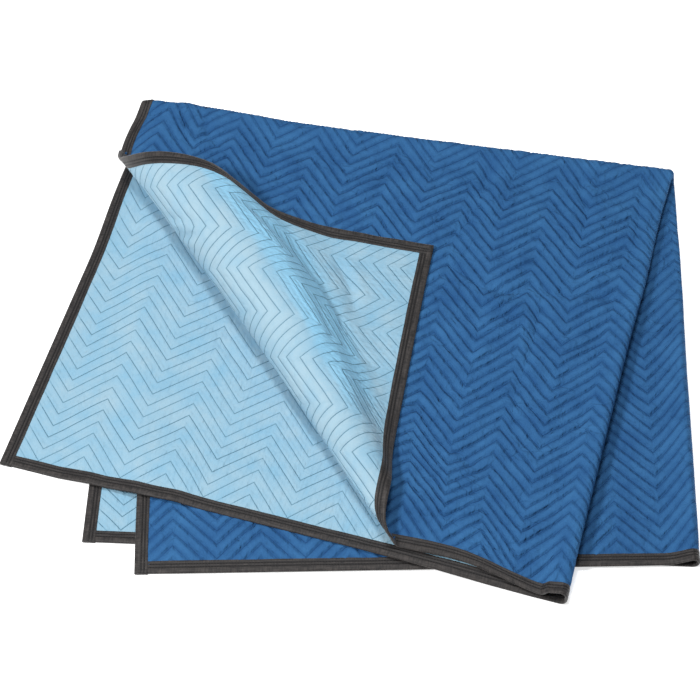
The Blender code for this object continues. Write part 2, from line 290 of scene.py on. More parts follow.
@dataclass(frozen=True)
class SideFold:
    """The first fold, which brings the right half over the left half."""

    x: float = 1063.0
    lean: float = math.radians(-1.78)
    radius: float = 10.5
    extra: float = math.radians(20.0)
    ease: float = 60.0
    opens: Pair = (160.0, 480.0)

    @cached_property
    def point(self) -> Array:
        """Where the fold leaves the near edge."""
        return np.array([self.x, 0.0])

    @cached_property
    def out(self) -> Array:
        """Unit vector across the fold, away from the left edge."""
        return -axes(math.pi / 2.0 - self.lean)[1]

    def section(self, across: Array, top_distance: Array, pitch: float) -> tuple:
        """Forward and up round the fold, whose loop opens away from the second fold.

        Args:
            across: Distances past the fold line.
            top_distance: Distances past the second fold, where the pair is upside down.
            pitch: Distance between the middles of two layers.

        Returns:
            Forward and up for each distance.
        """
        side = np.where(top_distance > 0.0, -1.0, 1.0)
        opened = np.maximum(smooth(np.abs(top_distance), *self.opens), 0.001)
        flat_radius = pitch / 2.0
        radius = flat_radius + opened * (self.radius - flat_radius)
        runs = loop_runs(radius, opened * self.extra, self.ease, pitch)
        forward, up, _ = folded_edge(across * side, runs)
        return forward, np.where(side < 0.0, pitch - up, up)


@dataclass(frozen=True)
class TopFold:
    """The second fold, which brings the rear half of the pair over the front half."""

    y: float = 991.0
    lean: float = math.radians(-6.55)
    radius: float = 14.0
    extra: float = math.radians(8.0)
    ease: float = 150.0
    slip: float = math.radians(3.11)
    lower_run: Pair = (0.0, 320.0)
    upper_run: Pair = (100.0, 520.0)
    spread: Pair = (20.0, 200.0)
    gather: float = 20.0
    gather_along: float = 180.0
    gather_across: float = 110.0
    sag: float = 18.0
    sag_along: Pair = (40.0, 420.0)
    sag_across: float = 240.0

    @cached_property
    def point(self) -> Array:
        """Where the fold leaves the left edge."""
        return np.array([0.0, self.y])

    @cached_property
    def along(self) -> Array:
        """Unit vector along the fold."""
        return axes(self.lean)[0]

    @cached_property
    def out(self) -> Array:
        """Unit vector across the fold."""
        return axes(self.lean)[1]


@dataclass(frozen=True)
class RolledCorner:
    """The free corner of the top layer, which is rolled back over it."""

    left: Pair = (0.0, 1172.0)
    near: Pair = (655.0, 1851.0)
    left_place: Pair = (-28.0, 797.0)
    near_place: Pair = (518.0, 4.5)
    blend: Pair = (-260.0, -70.0)
    top_blend: Pair = (15.0, 120.0)
    turns: tuple[Pair, ...] = ((60.0, 90.0), (45.0, 30.0), (73.0, 60.0), (60.0, 50.0))
    slope: float = math.radians(50.0)
    ease: float = 115.0
    taper: Pair = (335.0, 1100.0)
    end_size: float = 0.31
    skew: float = 0.043
    # Bands across the roll for its painted light: a painted highlight along the top, and a painted shade
    # colour in the hollow behind it, which fades out along the roll
    highlit_top: Band = (-10.0, 50.0, 85.0, 135.0)
    hollow: Band = (105.0, 165.0, 215.0, 290.0)
    hollow_end: Pair = (640.0, 780.0)

    @staticmethod
    def line(start: Pair, end: Pair) -> tuple:
        """Start point, unit vector along and unit vector to the left of the line from start to end.

        Args:
            start: Where the line starts.
            end: Where it ends.

        Returns:
            The point and the two vectors.
        """
        first, last = np.array(start), np.array(end)
        along = (last - first) / np.linalg.norm(last - first)
        return first, along, np.array([-along[1], along[0]])

    def beyond(self, flat: Array) -> Array:
        """Distance of flat points past the roll's line, towards the free corner."""
        start, _, out = self.line(self.left, self.near)
        return (flat - start) @ out

    def size(self, along: Array) -> Array:
        """Size of the roll's section, which gets smaller along its line."""
        return between(1.0, self.end_size, smooth(along, *self.taper))

    def wear_and_painted_light(self, flat: Array) -> Array:
        """Painted light on the light side: 1 along the top of the roll, painted paler as a highlight, and 0
        in the hollow behind it, which gets a painted shade colour.

        Args:
            flat: Flat points in millimetres.

        Returns:
            The painted light at each point.
        """
        start, along_line, out = self.line(self.left, self.near)
        offset = flat - start
        away = (offset @ out) / self.size(offset @ along_line)
        hollow = band(away, *self.hollow) * (1.0 - smooth(offset @ along_line, *self.hollow_end))
        return 0.5 + 0.5 * band(away, *self.highlit_top) - 0.5 * hollow

    def section(self, beyond: Array, size: Array, pitch: float) -> tuple:
        """Place across the roll's line, height and heading at a distance beyond that line.

        Args:
            beyond: Distances past the roll's line.
            size: Size of the section at each.
            pitch: Distance between the middles of two layers.

        Returns:
            Place inward of the line, height and heading.
        """
        runs = [(length * size, math.radians(turn) + 0.0 * size) for length, turn in self.turns]
        _, top, _ = follow(sum(length for length, _ in runs), runs)
        back = self.slope
        slope = (top - self.ease * size * (1 - math.cos(back)) - pitch) / math.sin(back)
        runs += [(slope, 0.0 * size), (self.ease * size * back, -back + 0.0 * size)]
        start = -self.turns[0][0] * size
        forward, up, heading = follow(beyond - start, runs)
        return -(start + forward), up, heading

    def move(self, flat: Array, relief: Array, pitch: float) -> tuple:
        """Place and rise of points of the top layer when its corner is rolled.

        Args:
            flat: Flat points.
            relief: How far each point stands out of the surface, towards the light side.
            pitch: Distance between the middles of two layers.

        Returns:
            The place in plan and the rise over the layer.
        """
        start, along_line, out = self.line(self.left, self.near)
        place_start, place_along, place_in = self.line(self.left_place, self.near_place)
        stretch = math.dist(self.left_place, self.near_place) / math.dist(self.left, self.near)
        offset = flat - start
        along, beyond = offset @ along_line, offset @ out
        size = self.size(along)
        inward, up, heading = self.section(beyond, size, pitch)
        inward = inward - relief * np.sin(heading)
        up = up - relief * np.cos(heading)
        along = along * stretch - self.skew * np.maximum(beyond, 0.0)
        return place_start + np.outer(along, place_along) + np.outer(inward, place_in), up


@dataclass(frozen=True)
class Relief:
    """Wrinkles and air under the layers, over and above the main folds."""

    lifts: tuple[tuple[float, ...], ...] = ((0.4, 1.0, 0.5, 3.0), (1.0, 2.0, 0.8, 0.5), (1.6, 2.4, 1.0, 8.0))
    broad: tuple[Unevenness, ...] = (
        Unevenness(11, (210.0, 120.0), 0.5),
        Unevenness(12, (230.0, 130.0), -0.4),
        Unevenness(13, (230.0, 110.0), 0.35),
    )
    fine: Unevenness = Unevenness(21, (60.0, 34.0), 0.6)
    crumple: tuple[Unevenness, ...] = (Unevenness(23, (56.0, 34.0), -0.7), Unevenness(24, (32.0, 22.0), 0.9))
    crumple_level: float = 0.8
    edge_run: Pair = (10.0, 90.0)
    edge_share: float = 0.12
    roll_layers: Pair = (3.15, 3.8)
    aloft_layers: Pair = (4.6, 9.0)
    carried_layers: Pair = (0.15, 0.8)
    flap_noise: Unevenness = Unevenness(31, (90.0, 36.0), 0.8)
    flap_rise: float = 1.6
    second_creases: tuple[Crease, ...] = creases(
        (4.5, 26, (1716, 1880), (1700, 1770)),
        (-3, 7, (1700, 1492), (1775, 1476)),
        (-3, 7, (1685, 1545), (1750, 1500)),
        (-3, 8, (1880, 1335), (2010, 1296)),
        (2.5, 9, (1880, 1305), (2000, 1270)),
    )
    top_creases: tuple[Crease, ...] = creases(
        (-6.5, 7, (640, 1200), (690, 1224), (740, 1250), (800, 1256), (842, 1220)),
        (-5.5, 7, (830, 1222), (868, 1238), (910, 1222), (1010, 1216)),
        (3.5, 14, (650, 1240), (730, 1278), (810, 1284), (860, 1262), (985, 1246)),
        (-5.5, 7, (702, 925), (700, 1056), (688, 1120), (650, 1196)),
        (3.5, 13, (726, 925), (726, 1056), (712, 1130), (690, 1190)),
        (-5, 6, (854, 1216), (850, 1330), (838, 1470), (846, 1570)),
        (2.5, 12, (832, 1230), (828, 1350), (818, 1500)),
        (-5, 6, (868, 920), (876, 985), (902, 1040), (900, 1110)),
        (2.5, 10, (888, 920), (898, 985), (920, 1040)),
        (2.6, 7, (1002, 900), (1012, 1100), (1008, 1300)),
        (-3, 6, (988, 930), (996, 1120)),
        (-5.5, 8, (60, 985), (92, 1010), (125, 1075), (176, 1112)),
        (-4.5, 8, (112, 985), (148, 1010), (170, 1060), (230, 1090)),
        (3, 10, (86, 985), (120, 1020), (150, 1075)),
        (-3.5, 6, (420, 930), (432, 1008), (400, 1060)),
        (-3.5, 6, (520, 930), (536, 990), (500, 1080)),
        (-3.5, 8, (690, 1500), (760, 1470), (830, 1500)),
        (-3, 9, (660, 1640), (740, 1600), (800, 1640), (900, 1630)),
    )
    flap_creases: tuple[Crease, ...] = creases(
        (-7, 17, (55, 1440), (72, 1520), (95, 1600), (152, 1668), (226, 1724)),
        (-4.5, 12, (190, 1690), (228, 1730), (286, 1776), (325, 1812)),
        (-4.5, 8, (64, 1672), (104, 1708), (150, 1730), (206, 1744)),
        (3.5, 10, (50, 1704), (110, 1736), (172, 1762)),
        (4, 9, (150, 1640), (190, 1680), (240, 1712)),
        (-3, 6, (118, 1300), (128, 1408)),
        (2.6, 6, (133, 1300), (143, 1415)),
        (-3.4, 6, (148, 1308), (158, 1415)),
        (2, 6, (163, 1320), (172, 1400)),
        (-2.5, 6, (176, 1320), (186, 1410)),
        (-2.2, 10, (236, 1660), (288, 1692), (344, 1700)),
        (-2.4, 5, (338, 1684), (362, 1730)),
    )

    def lift(
        self,
        flat: Array,
        place: Array,
        height: Array,
        blanket: Blanket,
        covers: list[Array],
        calm: Array,
    ) -> Array:
        """How far air under the layers lifts points.

        Args:
            flat: Flat points.
            place: Their folded places in plan.
            height: Their heights in the full stack.
            blanket: The blanket's sizes.
            covers: Whether each lower layer is there, from the floor up, 1 where it is.
            calm: 0 where the cloth is pulled smooth over a fold, 1 elsewhere.

        Returns:
            The rise in millimetres, never below 0.
        """
        layer = height / blanket.pitch
        level = self.crumple_level
        ridges = [1.0 - np.abs(2.0 * field.at(place) - 1.0) for field in self.crumple]
        sharp = between(level, sum(ridges) / len(ridges), calm)
        small = self.fine.at(place)
        from_edge = smooth(blanket.edge_distance(flat), *self.edge_run)
        open_share = np.maximum(from_edge, smooth(layer, *self.roll_layers))
        inside = between(self.edge_share, 1.0, open_share)
        # Nothing lies close under the roll, so no air lifts it
        aloft = smooth(layer, *self.aloft_layers)
        own_creases = ((), self.second_creases, self.top_creases)
        rise = np.zeros(len(flat))
        for number, (even, large, little, crumpled) in enumerate(self.lifts):
            above = np.clip(layer - number, 0.0, 1.0)
            carried = smooth(layer - number - 1.0, *self.carried_layers)
            field = even + large * self.broad[number].at(place) + little * small
            field = field + crumpled * between(sharp, level * (1.0 - aloft), carried)
            if number + 1 < len(covers):
                field = field * covers[number + 1]
            dents = sum((crease.at(flat) for crease in own_creases[number]), 0.0) * (1.0 - carried)
            rise = rise + above * np.maximum(inside * field + dents, 0.0)
        return rise

    def flap(self, flat: Array) -> Array:
        """How far the rolled corner's surface stands out towards its light side."""
        wave = self.flap_rise * (self.flap_noise.at(flat) - 0.5)
        return wave + sum(crease.at(flat) for crease in self.flap_creases)


@dataclass(frozen=True)
class Folding:
    """Carries points of the flat blanket to their folded places."""

    blanket: Blanket = Blanket()
    side: SideFold = SideFold()
    top: TopFold = TopFold()
    corner: RolledCorner = RolledCorner()
    relief: Relief = Relief()
    over_run: float = 50.0
    roll_run: float = 40.0
    rub_width: float = 18.0
    calm_run: Pair = (15.0, 100.0)
    wrinkle_run: Pair = (-40.0, 30.0)
    top_layer: float = 2.5
    probe: float = 0.5
    lowest: float = 0.25

    @cached_property
    def crossing(self) -> Array:
        """Where the two fold lines cross."""
        return self.top.point + self.top.along * self.side.x

    @cached_property
    def layers(self) -> list[tuple[Array, Array, Array]]:
        """Corner, left edge direction and near edge direction of the lower layers, from the floor up.

        Returns:
            Three pairs of numbers for each layer.
        """
        to_left, to_near = np.array([0.0, 1.0]), np.array([1.0, 0.0])
        width, length = np.array([self.blanket.width, 0.0]), np.array([0.0, self.blanket.length])
        side, top = self.side, self.top
        first = np.stack([0.0 * width, to_left, to_near])
        third = mirrored(np.stack([width, width + to_left, width - to_near]), side.point, side.out)
        end = width + length
        second = mirrored(np.stack([end, end - to_left, end - to_near]), side.point, side.out)
        second = turned(mirrored(second, top.point, top.out), self.crossing, top.slip)
        return [(corner, left - corner, near - corner) for corner, left, near in (first, third, second)]

    def cover(self, place: Array, layer: tuple) -> Array:
        """1 over a layer, falling to 0 past its left and near edges.

        Args:
            place: Places in plan.
            layer: The layer's corner and two directions.

        Returns:
            The share at each place.
        """
        corner, left, near = layer
        offset = place - corner
        outside = np.maximum(offset @ np.array([-left[1], left[0]]), offset @ np.array([near[1], -near[0]]))
        bends = np.array([0.0, 0.5, 1.0]) * self.blanket.drop_run
        return 1.0 - np.interp(outside, bends, smooth(bends, 0.0, self.blanket.drop_run))

    def missing(self, height: Array, covers: list) -> Array:
        """How far points come down where layers beneath them are missing.

        Args:
            height: Their heights in the full stack.
            covers: Whether each lower layer is there, from the floor up.

        Returns:
            The drop in millimetres.
        """
        lower = np.zeros(len(height))
        for number, cover in enumerate(covers):
            above = np.clip(height / self.blanket.pitch - number, 0.0, 1.0)
            lower = lower + above * self.blanket.pitch * (1.0 - cover)
        return lower

    def side_distance(self, flat: Array) -> Array:
        """Distance of flat points past the first fold."""
        return (flat - self.side.point) @ self.side.out

    def top_distance(self, flat: Array) -> Array:
        """Distance of flat points past the second fold, once the first fold is made.

        Args:
            flat: Flat points in millimetres.

        Returns:
            The distance in millimetres at each point.
        """
        across = self.side_distance(flat)
        near_place = flat - (across + np.abs(across))[:, None] * self.side.out
        return (near_place - self.top.point) @ self.top.out

    def shows(self, flat: Array, side: Side) -> Array:
        """1 where a side faces up in the folded stack, and 0 where it faces down.

        Args:
            flat: Flat points in millimetres.
            side: The side of the blanket.

        Returns:
            The share at each point.
        """
        left = np.tanh((self.side.x - flat[:, 0]) / self.over_run)
        rear = np.tanh((flat[:, 1] - self.top.y) / self.over_run)
        facing = smooth(-side.value * left * rear, 0.0, 0.8)
        if side is Side.DARK:
            return facing
        return np.maximum(facing, smooth(self.corner.beyond(flat), 0.0, self.roll_run))

    def wear_and_painted_light(self, flat: Array, side: Side) -> Array:
        """Worn places and painted light, from 0 to 1: the dark side is worn along both folds, and the light
        side gets painted light on the roll, a painted highlight along its top and a painted shade colour in
        the hollow.

        Args:
            flat: Flat points in millimetres.
            side: The side of the blanket.

        Returns:
            The worn share and painted light at each point.
        """
        if side is Side.LIGHT:
            return self.corner.wear_and_painted_light(flat)
        folds = (self.side_distance(flat), self.top_distance(flat))
        return 0.5 + 0.25 * sum(np.exp(-((distance / self.rub_width) ** 2)) for distance in folds)

    def middle(self, flat: Array) -> Array:
        """Folded place of points of the blanket's middle surface, in millimetres.

        Args:
            flat: Flat points in millimetres.

        Returns:
            Three numbers for each point.
        """
        side, top, pitch = self.side, self.top, self.blanket.pitch
        across = self.side_distance(flat)
        foot = flat - across[:, None] * side.out
        forward, level = side.section(across, self.top_distance(flat), pitch)
        pair = foot + forward[:, None] * side.out

        beyond = (pair - top.point) @ top.out
        zero = np.zeros_like(beyond)
        runs = loop_runs(top.radius + zero, top.extra + zero, top.ease, 3.0 * pitch)
        outward, up, heading = folded_edge(beyond, runs)
        outward = outward - level * np.sin(heading)
        height = up + level * np.cos(heading)
        place = pair + (outward - beyond)[:, None] * top.out
        lower = np.clip(level / pitch, 1.0 - smooth(np.abs(across), *top.spread), 1.0)
        slip = lower * smooth(-outward, *top.lower_run) + (1.0 - lower) * smooth(-outward, *top.upper_run)
        place = turned(place, self.crossing, top.slip * slip * (heading > math.pi / 2.0))
        along_top = (pair - top.point) @ top.along
        gather = top.gather * np.exp(-((outward / top.gather_across) ** 2))
        gather = gather * (1.0 - smooth(along_top, 0.0, top.gather_along))
        place = place + np.outer(gather, top.along)
        sag = top.sag * smooth(along_top, *top.sag_along) * np.exp(-((outward / top.sag_across) ** 2))
        place = place - np.outer(sag, top.out)

        corner, past_top = self.corner, -outward * (heading > math.pi / 2.0)
        past_roll = corner.beyond(flat)
        share = smooth(past_roll, *corner.blend) * smooth(past_top, *corner.top_blend)
        share = share * (height > self.top_layer * pitch)
        wrinkle = self.relief.flap(flat) * smooth(past_roll, *self.wrinkle_run)
        rolled, rise = corner.move(flat, wrinkle, pitch)
        place, height = between(place, rolled, share[:, None]), height + share * rise

        covers = [self.cover(place, layer) for layer in self.layers]
        calm = smooth(np.abs(self.top_distance(flat)), *self.calm_run)
        air = self.relief.lift(flat, place, height, self.blanket, covers, calm)
        height = height - self.missing(height, covers) + air
        return np.column_stack([place, height + self.blanket.half_thickness])

    def fold(self, points: Array) -> Array:
        """Folded places of points of the flat blanket.

        Args:
            points: u, v and h in millimetres.

        Returns:
            Places in the row frame, in metres.
        """
        flat = points[:, :2]
        centre = self.middle(flat)
        across, back = np.array([self.probe, 0.0]), np.array([0.0, self.probe])
        along_u, along_v = (self.middle(flat + step) - self.middle(flat - step) for step in (across, back))
        normal = np.cross(along_u, along_v)
        normal /= np.linalg.norm(normal, axis=1)[:, None]
        folded = centre + normal * points[:, 2:]
        place = folded[:, :2] - np.array(self.blanket.centre)
        folded[:, :2] = turned(place, np.zeros(2), self.blanket.heading)
        folded[:, 2] = np.maximum(folded[:, 2], self.lowest)
        return folded * MM


@dataclass(frozen=True)
class Quilting:
    """Zigzag lines of machine quilting that run across the width, one every 25.4 mm along the length."""

    spacing: float = 25.4
    wave: float = 152.4
    first_low: float = 63.5
    first_line: float = 24.2
    close_rows: tuple[float, ...] = (0.0, 2.6, 7.0, 12.7, 18.4, 22.8)
    far_rows: tuple[float, ...] = (0.0, 3.2, 12.7, 22.2)
    close_from: float = 850.0
    wander_mm: Pair = (7.0, 3.0)
    wander_field: Unevenness = Unevenness(61, (52.0, 30.0))
    small_wander: Unevenness = Unevenness(62, (21.0, 18.0))
    wander_turn: Pair = (950.0, 1100.0)
    fold_columns: Pair = (970.0, 1060.0)
    fold_steps: int = 20
    inset: float = 2.0
    roundness: float = 0.7

    def wander(self, u: Array, w: Array) -> Array:
        """How far a line has strayed along the length, as the cloth crept under the needles.

        Args:
            u: Places across the width.
            w: Places along the length, past the zigzag.

        Returns:
            The distance in millimetres at each place.
        """
        place = np.column_stack([u, w])
        left, right = self.wander_mm
        most = between(left, right, smooth(u, *self.wander_turn))
        return most * (0.7 * self.wander_field.at(place) + 0.3 * self.small_wander.at(place) - 0.5)

    def zigzag(self, u: Array) -> Array:
        """How far each zigzag line stands along the length past its lowest points."""
        share = np.mod((u - self.first_low) / self.wave, 1.0)
        return self.wave * (0.5 - np.abs(share - 0.5))

    def crown(self, w: Array) -> Array:
        """0 on a quilting line and 1 in the middle of the channel between two lines."""
        share = np.mod((w - self.first_line) / self.spacing, 1.0)
        return np.sin(np.pi * share) ** self.roundness

    def columns(self, blanket: Blanket, close: int, far: int) -> Array:
        """Places across the width of a cloth's grid, with every turn of the zigzag among them.

        Args:
            blanket: The blanket's sizes.
            close: Steps for half a wave in the left half, which ends on top.
            far: Steps for half a wave in the right half.

        Returns:
            Distances from the left edge.
        """
        half = self.wave / 2.0
        found: list[float] = []
        for left in np.arange(self.first_low - half, blanket.width, half):
            steps = close if left < self.fold_columns[0] else far
            if self.fold_columns[0] < left < self.fold_columns[1]:
                steps = self.fold_steps
            found.extend(left + half * np.arange(steps) / steps)
        return np.unique(np.clip(found, self.inset, blanket.width - self.inset))

    def rows(self, blanket: Blanket) -> Array:
        """Rows of a cloth's grid, along the quilting lines and between them, closer in the upper layers.

        Args:
            blanket: The blanket's sizes.

        Returns:
            Distances along the length, past the zigzag.
        """
        close, far = np.array(self.close_rows), np.array(self.far_rows)
        lines = self.lines(blanket)
        return np.concatenate([low + (close if low > self.close_from else far) for low in lines])

    def lines(self, blanket: Blanket) -> Array:
        """Distances along the length, at their lowest points, of all quilting lines."""
        first = self.first_line - self.spacing * math.ceil(self.wave / 2.0 / self.spacing)
        return np.arange(first, blanket.length, self.spacing)


def srgb(code: str) -> Colour:
    """Linear colour of an sRGB hex code such as "#a1b2c3".

    Args:
        code: The hex code.

    Returns:
        Red, green, blue and alpha.
    """
    parts = [int(code[at : at + 2], 16) / 255.0 for at in (1, 3, 5)]
    linear = [part / 12.92 if part <= 0.04045 else ((part + 0.055) / 1.055) ** 2.4 for part in parts]
    return (*linear, 1.0)


def fill(tree: Any, node: Any, inputs: dict | tuple) -> None:
    """Sets a node's inputs.

    Args:
        tree: The node tree.
        node: The node.
        inputs: Values, sockets or nodes, by name or number of the input, or in order.
    """
    for name, value in inputs.items() if isinstance(inputs, dict) else enumerate(inputs):
        if isinstance(value, bpy.types.Node):
            value = next(socket for socket in value.outputs if socket.enabled)
        if isinstance(value, bpy.types.NodeSocket):
            tree.links.new(value, node.inputs[name])
        else:
            node.inputs[name].default_value = value


def add_node(tree: Any, kind: str, inputs: dict | tuple = (), **settings: Any) -> Any:
    """Adds a node with its settings, values and links.

    Args:
        tree: The node tree.
        kind: The node's type name.
        inputs: Values, sockets or nodes, by name or number of the input, or in order.
        settings: The node's own properties.

    Returns:
        The node.
    """
    node = tree.nodes.new(kind)
    for name, value in settings.items():
        setattr(node, name, value)
    fill(tree, node, inputs)
    return node


def per_metre(size_mm: float) -> float:
    """Scale of a pattern with this size."""
    return 1.0 / (size_mm * MM)


def new_material(name: str) -> tuple[Material, Any, Any]:
    """A new material, its node tree and its empty Principled shader.

    Args:
        name: The material's name.

    Returns:
        The three of them.
    """
    material = bpy.data.materials.new(name)
    material.use_nodes = True
    tree = material.node_tree
    tree.nodes.clear()
    shader = add_node(tree, "ShaderNodeBsdfPrincipled")
    add_node(tree, "ShaderNodeOutputMaterial", {"Surface": shader})
    return material, tree, shader


@dataclass(frozen=True)
class NonwovenCloth:
    """Needled cotton and polyester cloth, dyed through: matt, fibrous, with no weave to see."""

    name: str
    # A paler and a darker tone, mixed at random; on the light side the paler one is also the painted
    # highlight along the top of the roll
    colour: str
    shade: str
    # Painted shade colour along the quilting grooves and in the creases
    line: str
    # Painted shade colour in the hollow behind the roll: the saturated blue of light bounced into it
    painted_hollow_colour: str
    # Painted shade towards the quilting lines and a painted highlight on the crowns between them
    painted_crown_shade: float = 0.0
    crown_tones: Pair = (-0.6, 0.4)
    rubbed_and_lit: Pair = (0.45, 1.05)
    tufts: float = 0.55
    roughness: Pair = (0.8, 0.97)
    patch_mm: float = 55.0
    fibre_mm: float = 2.2
    nap_mm: float = 0.35
    gather_mm: Pair = (7.0, 28.0)
    gather_run: float = 11.0
    slack: Pair = (2.6, 0.2)
    gather_rise_mm: float = 3.2
    # Width and strength of the painted shade along the quilting grooves
    line_mm: float = 2.6
    groove_shade: float = 0.5
    dip_mm: float = 0.5
    dip_run: Pair = (0.3, 7.5)
    crumple_mm: float = 26.0
    crumple_rise_mm: float = 0.5
    # Strength of the painted shade in the creases
    crease_shade: float = 0.08
    crease_width: float = 0.13
    crease_spread: Pair = (0.42, 0.6)
    sheen: float = 0.12

    def build(self, quilting: Quilting) -> Material:
        """Makes the material.

        Args:
            quilting: The quilting, whose lines the cloth is darker and puckered along.

        Returns:
            The material, which reads the piece's two UV maps, in metres.
        """
        material, tree, shader = new_material(self.name)
        flat = add_node(tree, "ShaderNodeUVMap", uv_map=FLAT_UV)
        quilt = add_node(tree, "ShaderNodeUVMap", uv_map=QUILT_UV)
        # Worn along the folds on the dark side; painted light on the rolled corner on the light side
        worn = add_node(tree, "ShaderNodeAttribute", attribute_name=WEAR_AND_PAINTED_LIGHT).outputs["Fac"]
        # Distance from the nearest quilting line, in millimetres along the length
        length = add_node(tree, "ShaderNodeSeparateXYZ", (quilt,)).outputs["Y"]
        shifted = add_node(tree, MATH, (length, 1.0 / MM, -quilting.first_line), operation="MULTIPLY_ADD")
        half = quilting.spacing / 2.0
        from_line = add_node(tree, MATH, (shifted, half), operation="PINGPONG")
        # Real fibres are some 0.1 mm apart, too fine to show, so they are drawn in tufts
        sizes = {"Scale": per_metre(self.fibre_mm), "Detail": 3.0, "Roughness": 0.7}
        fibres = add_node(tree, NOISE, {"Vector": flat, **sizes})
        gathered = self.gather(tree, quilt, from_line, worn)
        creases, creased = self.crumple(tree, flat, gathered)
        inputs = {"Height": fibres, "Distance": self.nap_mm * MM, "Strength": 0.8, "Normal": creased}
        napped = add_node(tree, BUMP, inputs)
        cloth = self.colour_and_painted_light(tree, flat, fibres, from_line, half, worn)
        # Painted shade: the cloth is painted darker along the thread's quilting grooves and in its creases,
        # where shade falls
        near = (from_line, 0.4, self.line_mm, 1.0, 0.0)
        near_line = add_node(tree, SPAN, near, interpolation_type="SMOOTHSTEP")
        for darker, depth in ((near_line, self.groove_shade), (creases, self.crease_shade)):
            share = add_node(tree, MATH, (darker, depth), operation="MULTIPLY")
            cloth = add_node(tree, MIX, {0: share, 6: cloth, 7: srgb(self.line)}, data_type="RGBA")
        finish = {
            "Base Color": cloth,
            "Roughness": add_node(tree, SPAN, (fibres, 0.0, 1.0, *self.roughness)),
            "Normal": napped,
            "Sheen Weight": self.sheen,
            "Sheen Roughness": 0.5,
            "Specular IOR Level": 0.15,
        }
        fill(tree, shader, finish)
        return material

    def colour_and_painted_light(self, tree: Any, flat: Any, fibres: Any, from_line: Any, half: float, worn: Any) -> Any:
        """Colour of the cloth: a paler and a darker tone mixed at random, paler where the dark side is worn
        along the folds, with painted light on the light side's roll, a painted highlight along its top and a
        painted saturated blue shade in the hollow behind it, and painted shade towards the quilting lines.

        Args:
            tree: The node tree.
            flat: Coordinates on the flat cloth.
            fibres: Noise of the fibres.
            from_line: Distance from the nearest quilting line, in millimetres.
            half: The largest such distance.
            worn: How worn the cloth is along the folds, and the painted light on the roll.

        Returns:
            The colour.
        """
        sizes = {"Scale": per_metre(self.patch_mm), "Detail": 4.0, "Roughness": 0.6}
        patches = add_node(tree, NOISE, {"Vector": flat, **sizes})
        tufts = add_node(tree, MATH, (fibres, self.tufts, -0.5 * self.tufts), operation="MULTIPLY_ADD")
        mottled = add_node(tree, MATH, (patches, tufts), operation="ADD")
        # Paler where worn along the folds, and along the roll's top as a painted highlight
        rubbed_and_lit = add_node(tree, MATH, (worn, 0.5, mottled), operation="MULTIPLY_ADD")
        # Painted shade: darker towards the quilting lines, paler on the crowns
        tones = (tone * self.painted_crown_shade for tone in self.crown_tones)
        crowned = add_node(tree, SPAN, (from_line, 0.0, half, *tones))
        paler = add_node(tree, MATH, (rubbed_and_lit, crowned), operation="ADD")
        share = add_node(tree, SPAN, (paler, *self.rubbed_and_lit))
        # Painted shade: the hollow behind the roll gets a saturated blue, as of light bounced into it
        painted_hollow_share = add_node(tree, SPAN, (worn, 0.0, 0.5, 1.0, 0.0))
        cloth = add_node(tree, MIX, {0: share, 6: srgb(self.shade), 7: srgb(self.colour)}, data_type="RGBA")
        return add_node(tree, MIX, {0: painted_hollow_share, 6: cloth, 7: srgb(self.painted_hollow_colour)}, data_type="RGBA")

    def gather(self, tree: Any, quilt: Any, from_line: Any, worn: Any) -> Any:
        """Small gathers along the quilting lines, where the thread also draws the cloth down.

        Args:
            tree: The node tree.
            quilt: Coordinates that follow the zigzag.
            from_line: Distance from the nearest quilting line, in millimetres.
            worn: How worn the cloth is along the folds, and the painted light on the roll, which is lowest
                in the hollow.

        Returns:
            The bent normal.
        """
        scale = (*map(per_metre, self.gather_mm), 0.0)
        stretched = add_node(tree, VECTOR_MATH, (quilt, scale), operation="MULTIPLY")
        gathers = add_node(tree, NOISE, {"Vector": stretched, "Scale": 1.0})
        fading = add_node(tree, SPAN, (from_line, 0.0, self.gather_run, 1.0, 0.35))
        slack = add_node(tree, SPAN, (worn, 0.0, 1.0, *self.slack))
        share = add_node(tree, MATH, (slack, fading), operation="MULTIPLY")
        puckers = add_node(tree, MATH, (gathers, share), operation="MULTIPLY")
        gathered = add_node(tree, BUMP, {"Height": puckers, "Distance": self.gather_rise_mm * MM})
        drawn = add_node(tree, SPAN, (from_line, *self.dip_run), interpolation_type="SMOOTHSTEP")
        return add_node(tree, BUMP, {"Height": drawn, "Distance": self.dip_mm * MM, "Normal": gathered})

    def crumple(self, tree: Any, flat: Any, normal: Any) -> tuple[Any, Any]:
        """Sharp short creases all over, from being folded and packed many times.

        Args:
            tree: The node tree.
            flat: Coordinates on the flat cloth.
            normal: The normal under the creases.

        Returns:
            Where the creases are, and the bent normal.
        """
        size, rise = self.crumple_mm, self.crumple_rise_mm * MM
        strayed = add_node(tree, NOISE, {"Vector": flat, "Scale": per_metre(2.0 * size)})
        inputs = (strayed.outputs["Color"], (1.6 * size * MM,) * 3, flat)
        bent = add_node(tree, VECTOR_MATH, inputs, operation="MULTIPLY_ADD")
        inputs = {"Vector": bent, "Scale": per_metre(size)}
        facets = add_node(tree, "ShaderNodeTexVoronoi", inputs, feature="DISTANCE_TO_EDGE")
        fold = add_node(tree, SPAN, (facets.outputs["Distance"], 0.0, self.crease_width, 1.0, 0.0))
        some = add_node(tree, SPAN, (strayed.outputs["Fac"], *self.crease_spread))
        creases = add_node(tree, MATH, (fold, some), operation="MULTIPLY")
        uneven = add_node(tree, NOISE, {"Vector": bent, "Scale": per_metre(0.6 * size)})
        for height, depth in ((creases, -0.6 * rise), (uneven, 2.5 * rise)):
            normal = add_node(tree, BUMP, {"Height": height, "Distance": depth, "Normal": normal})
        return creases, normal


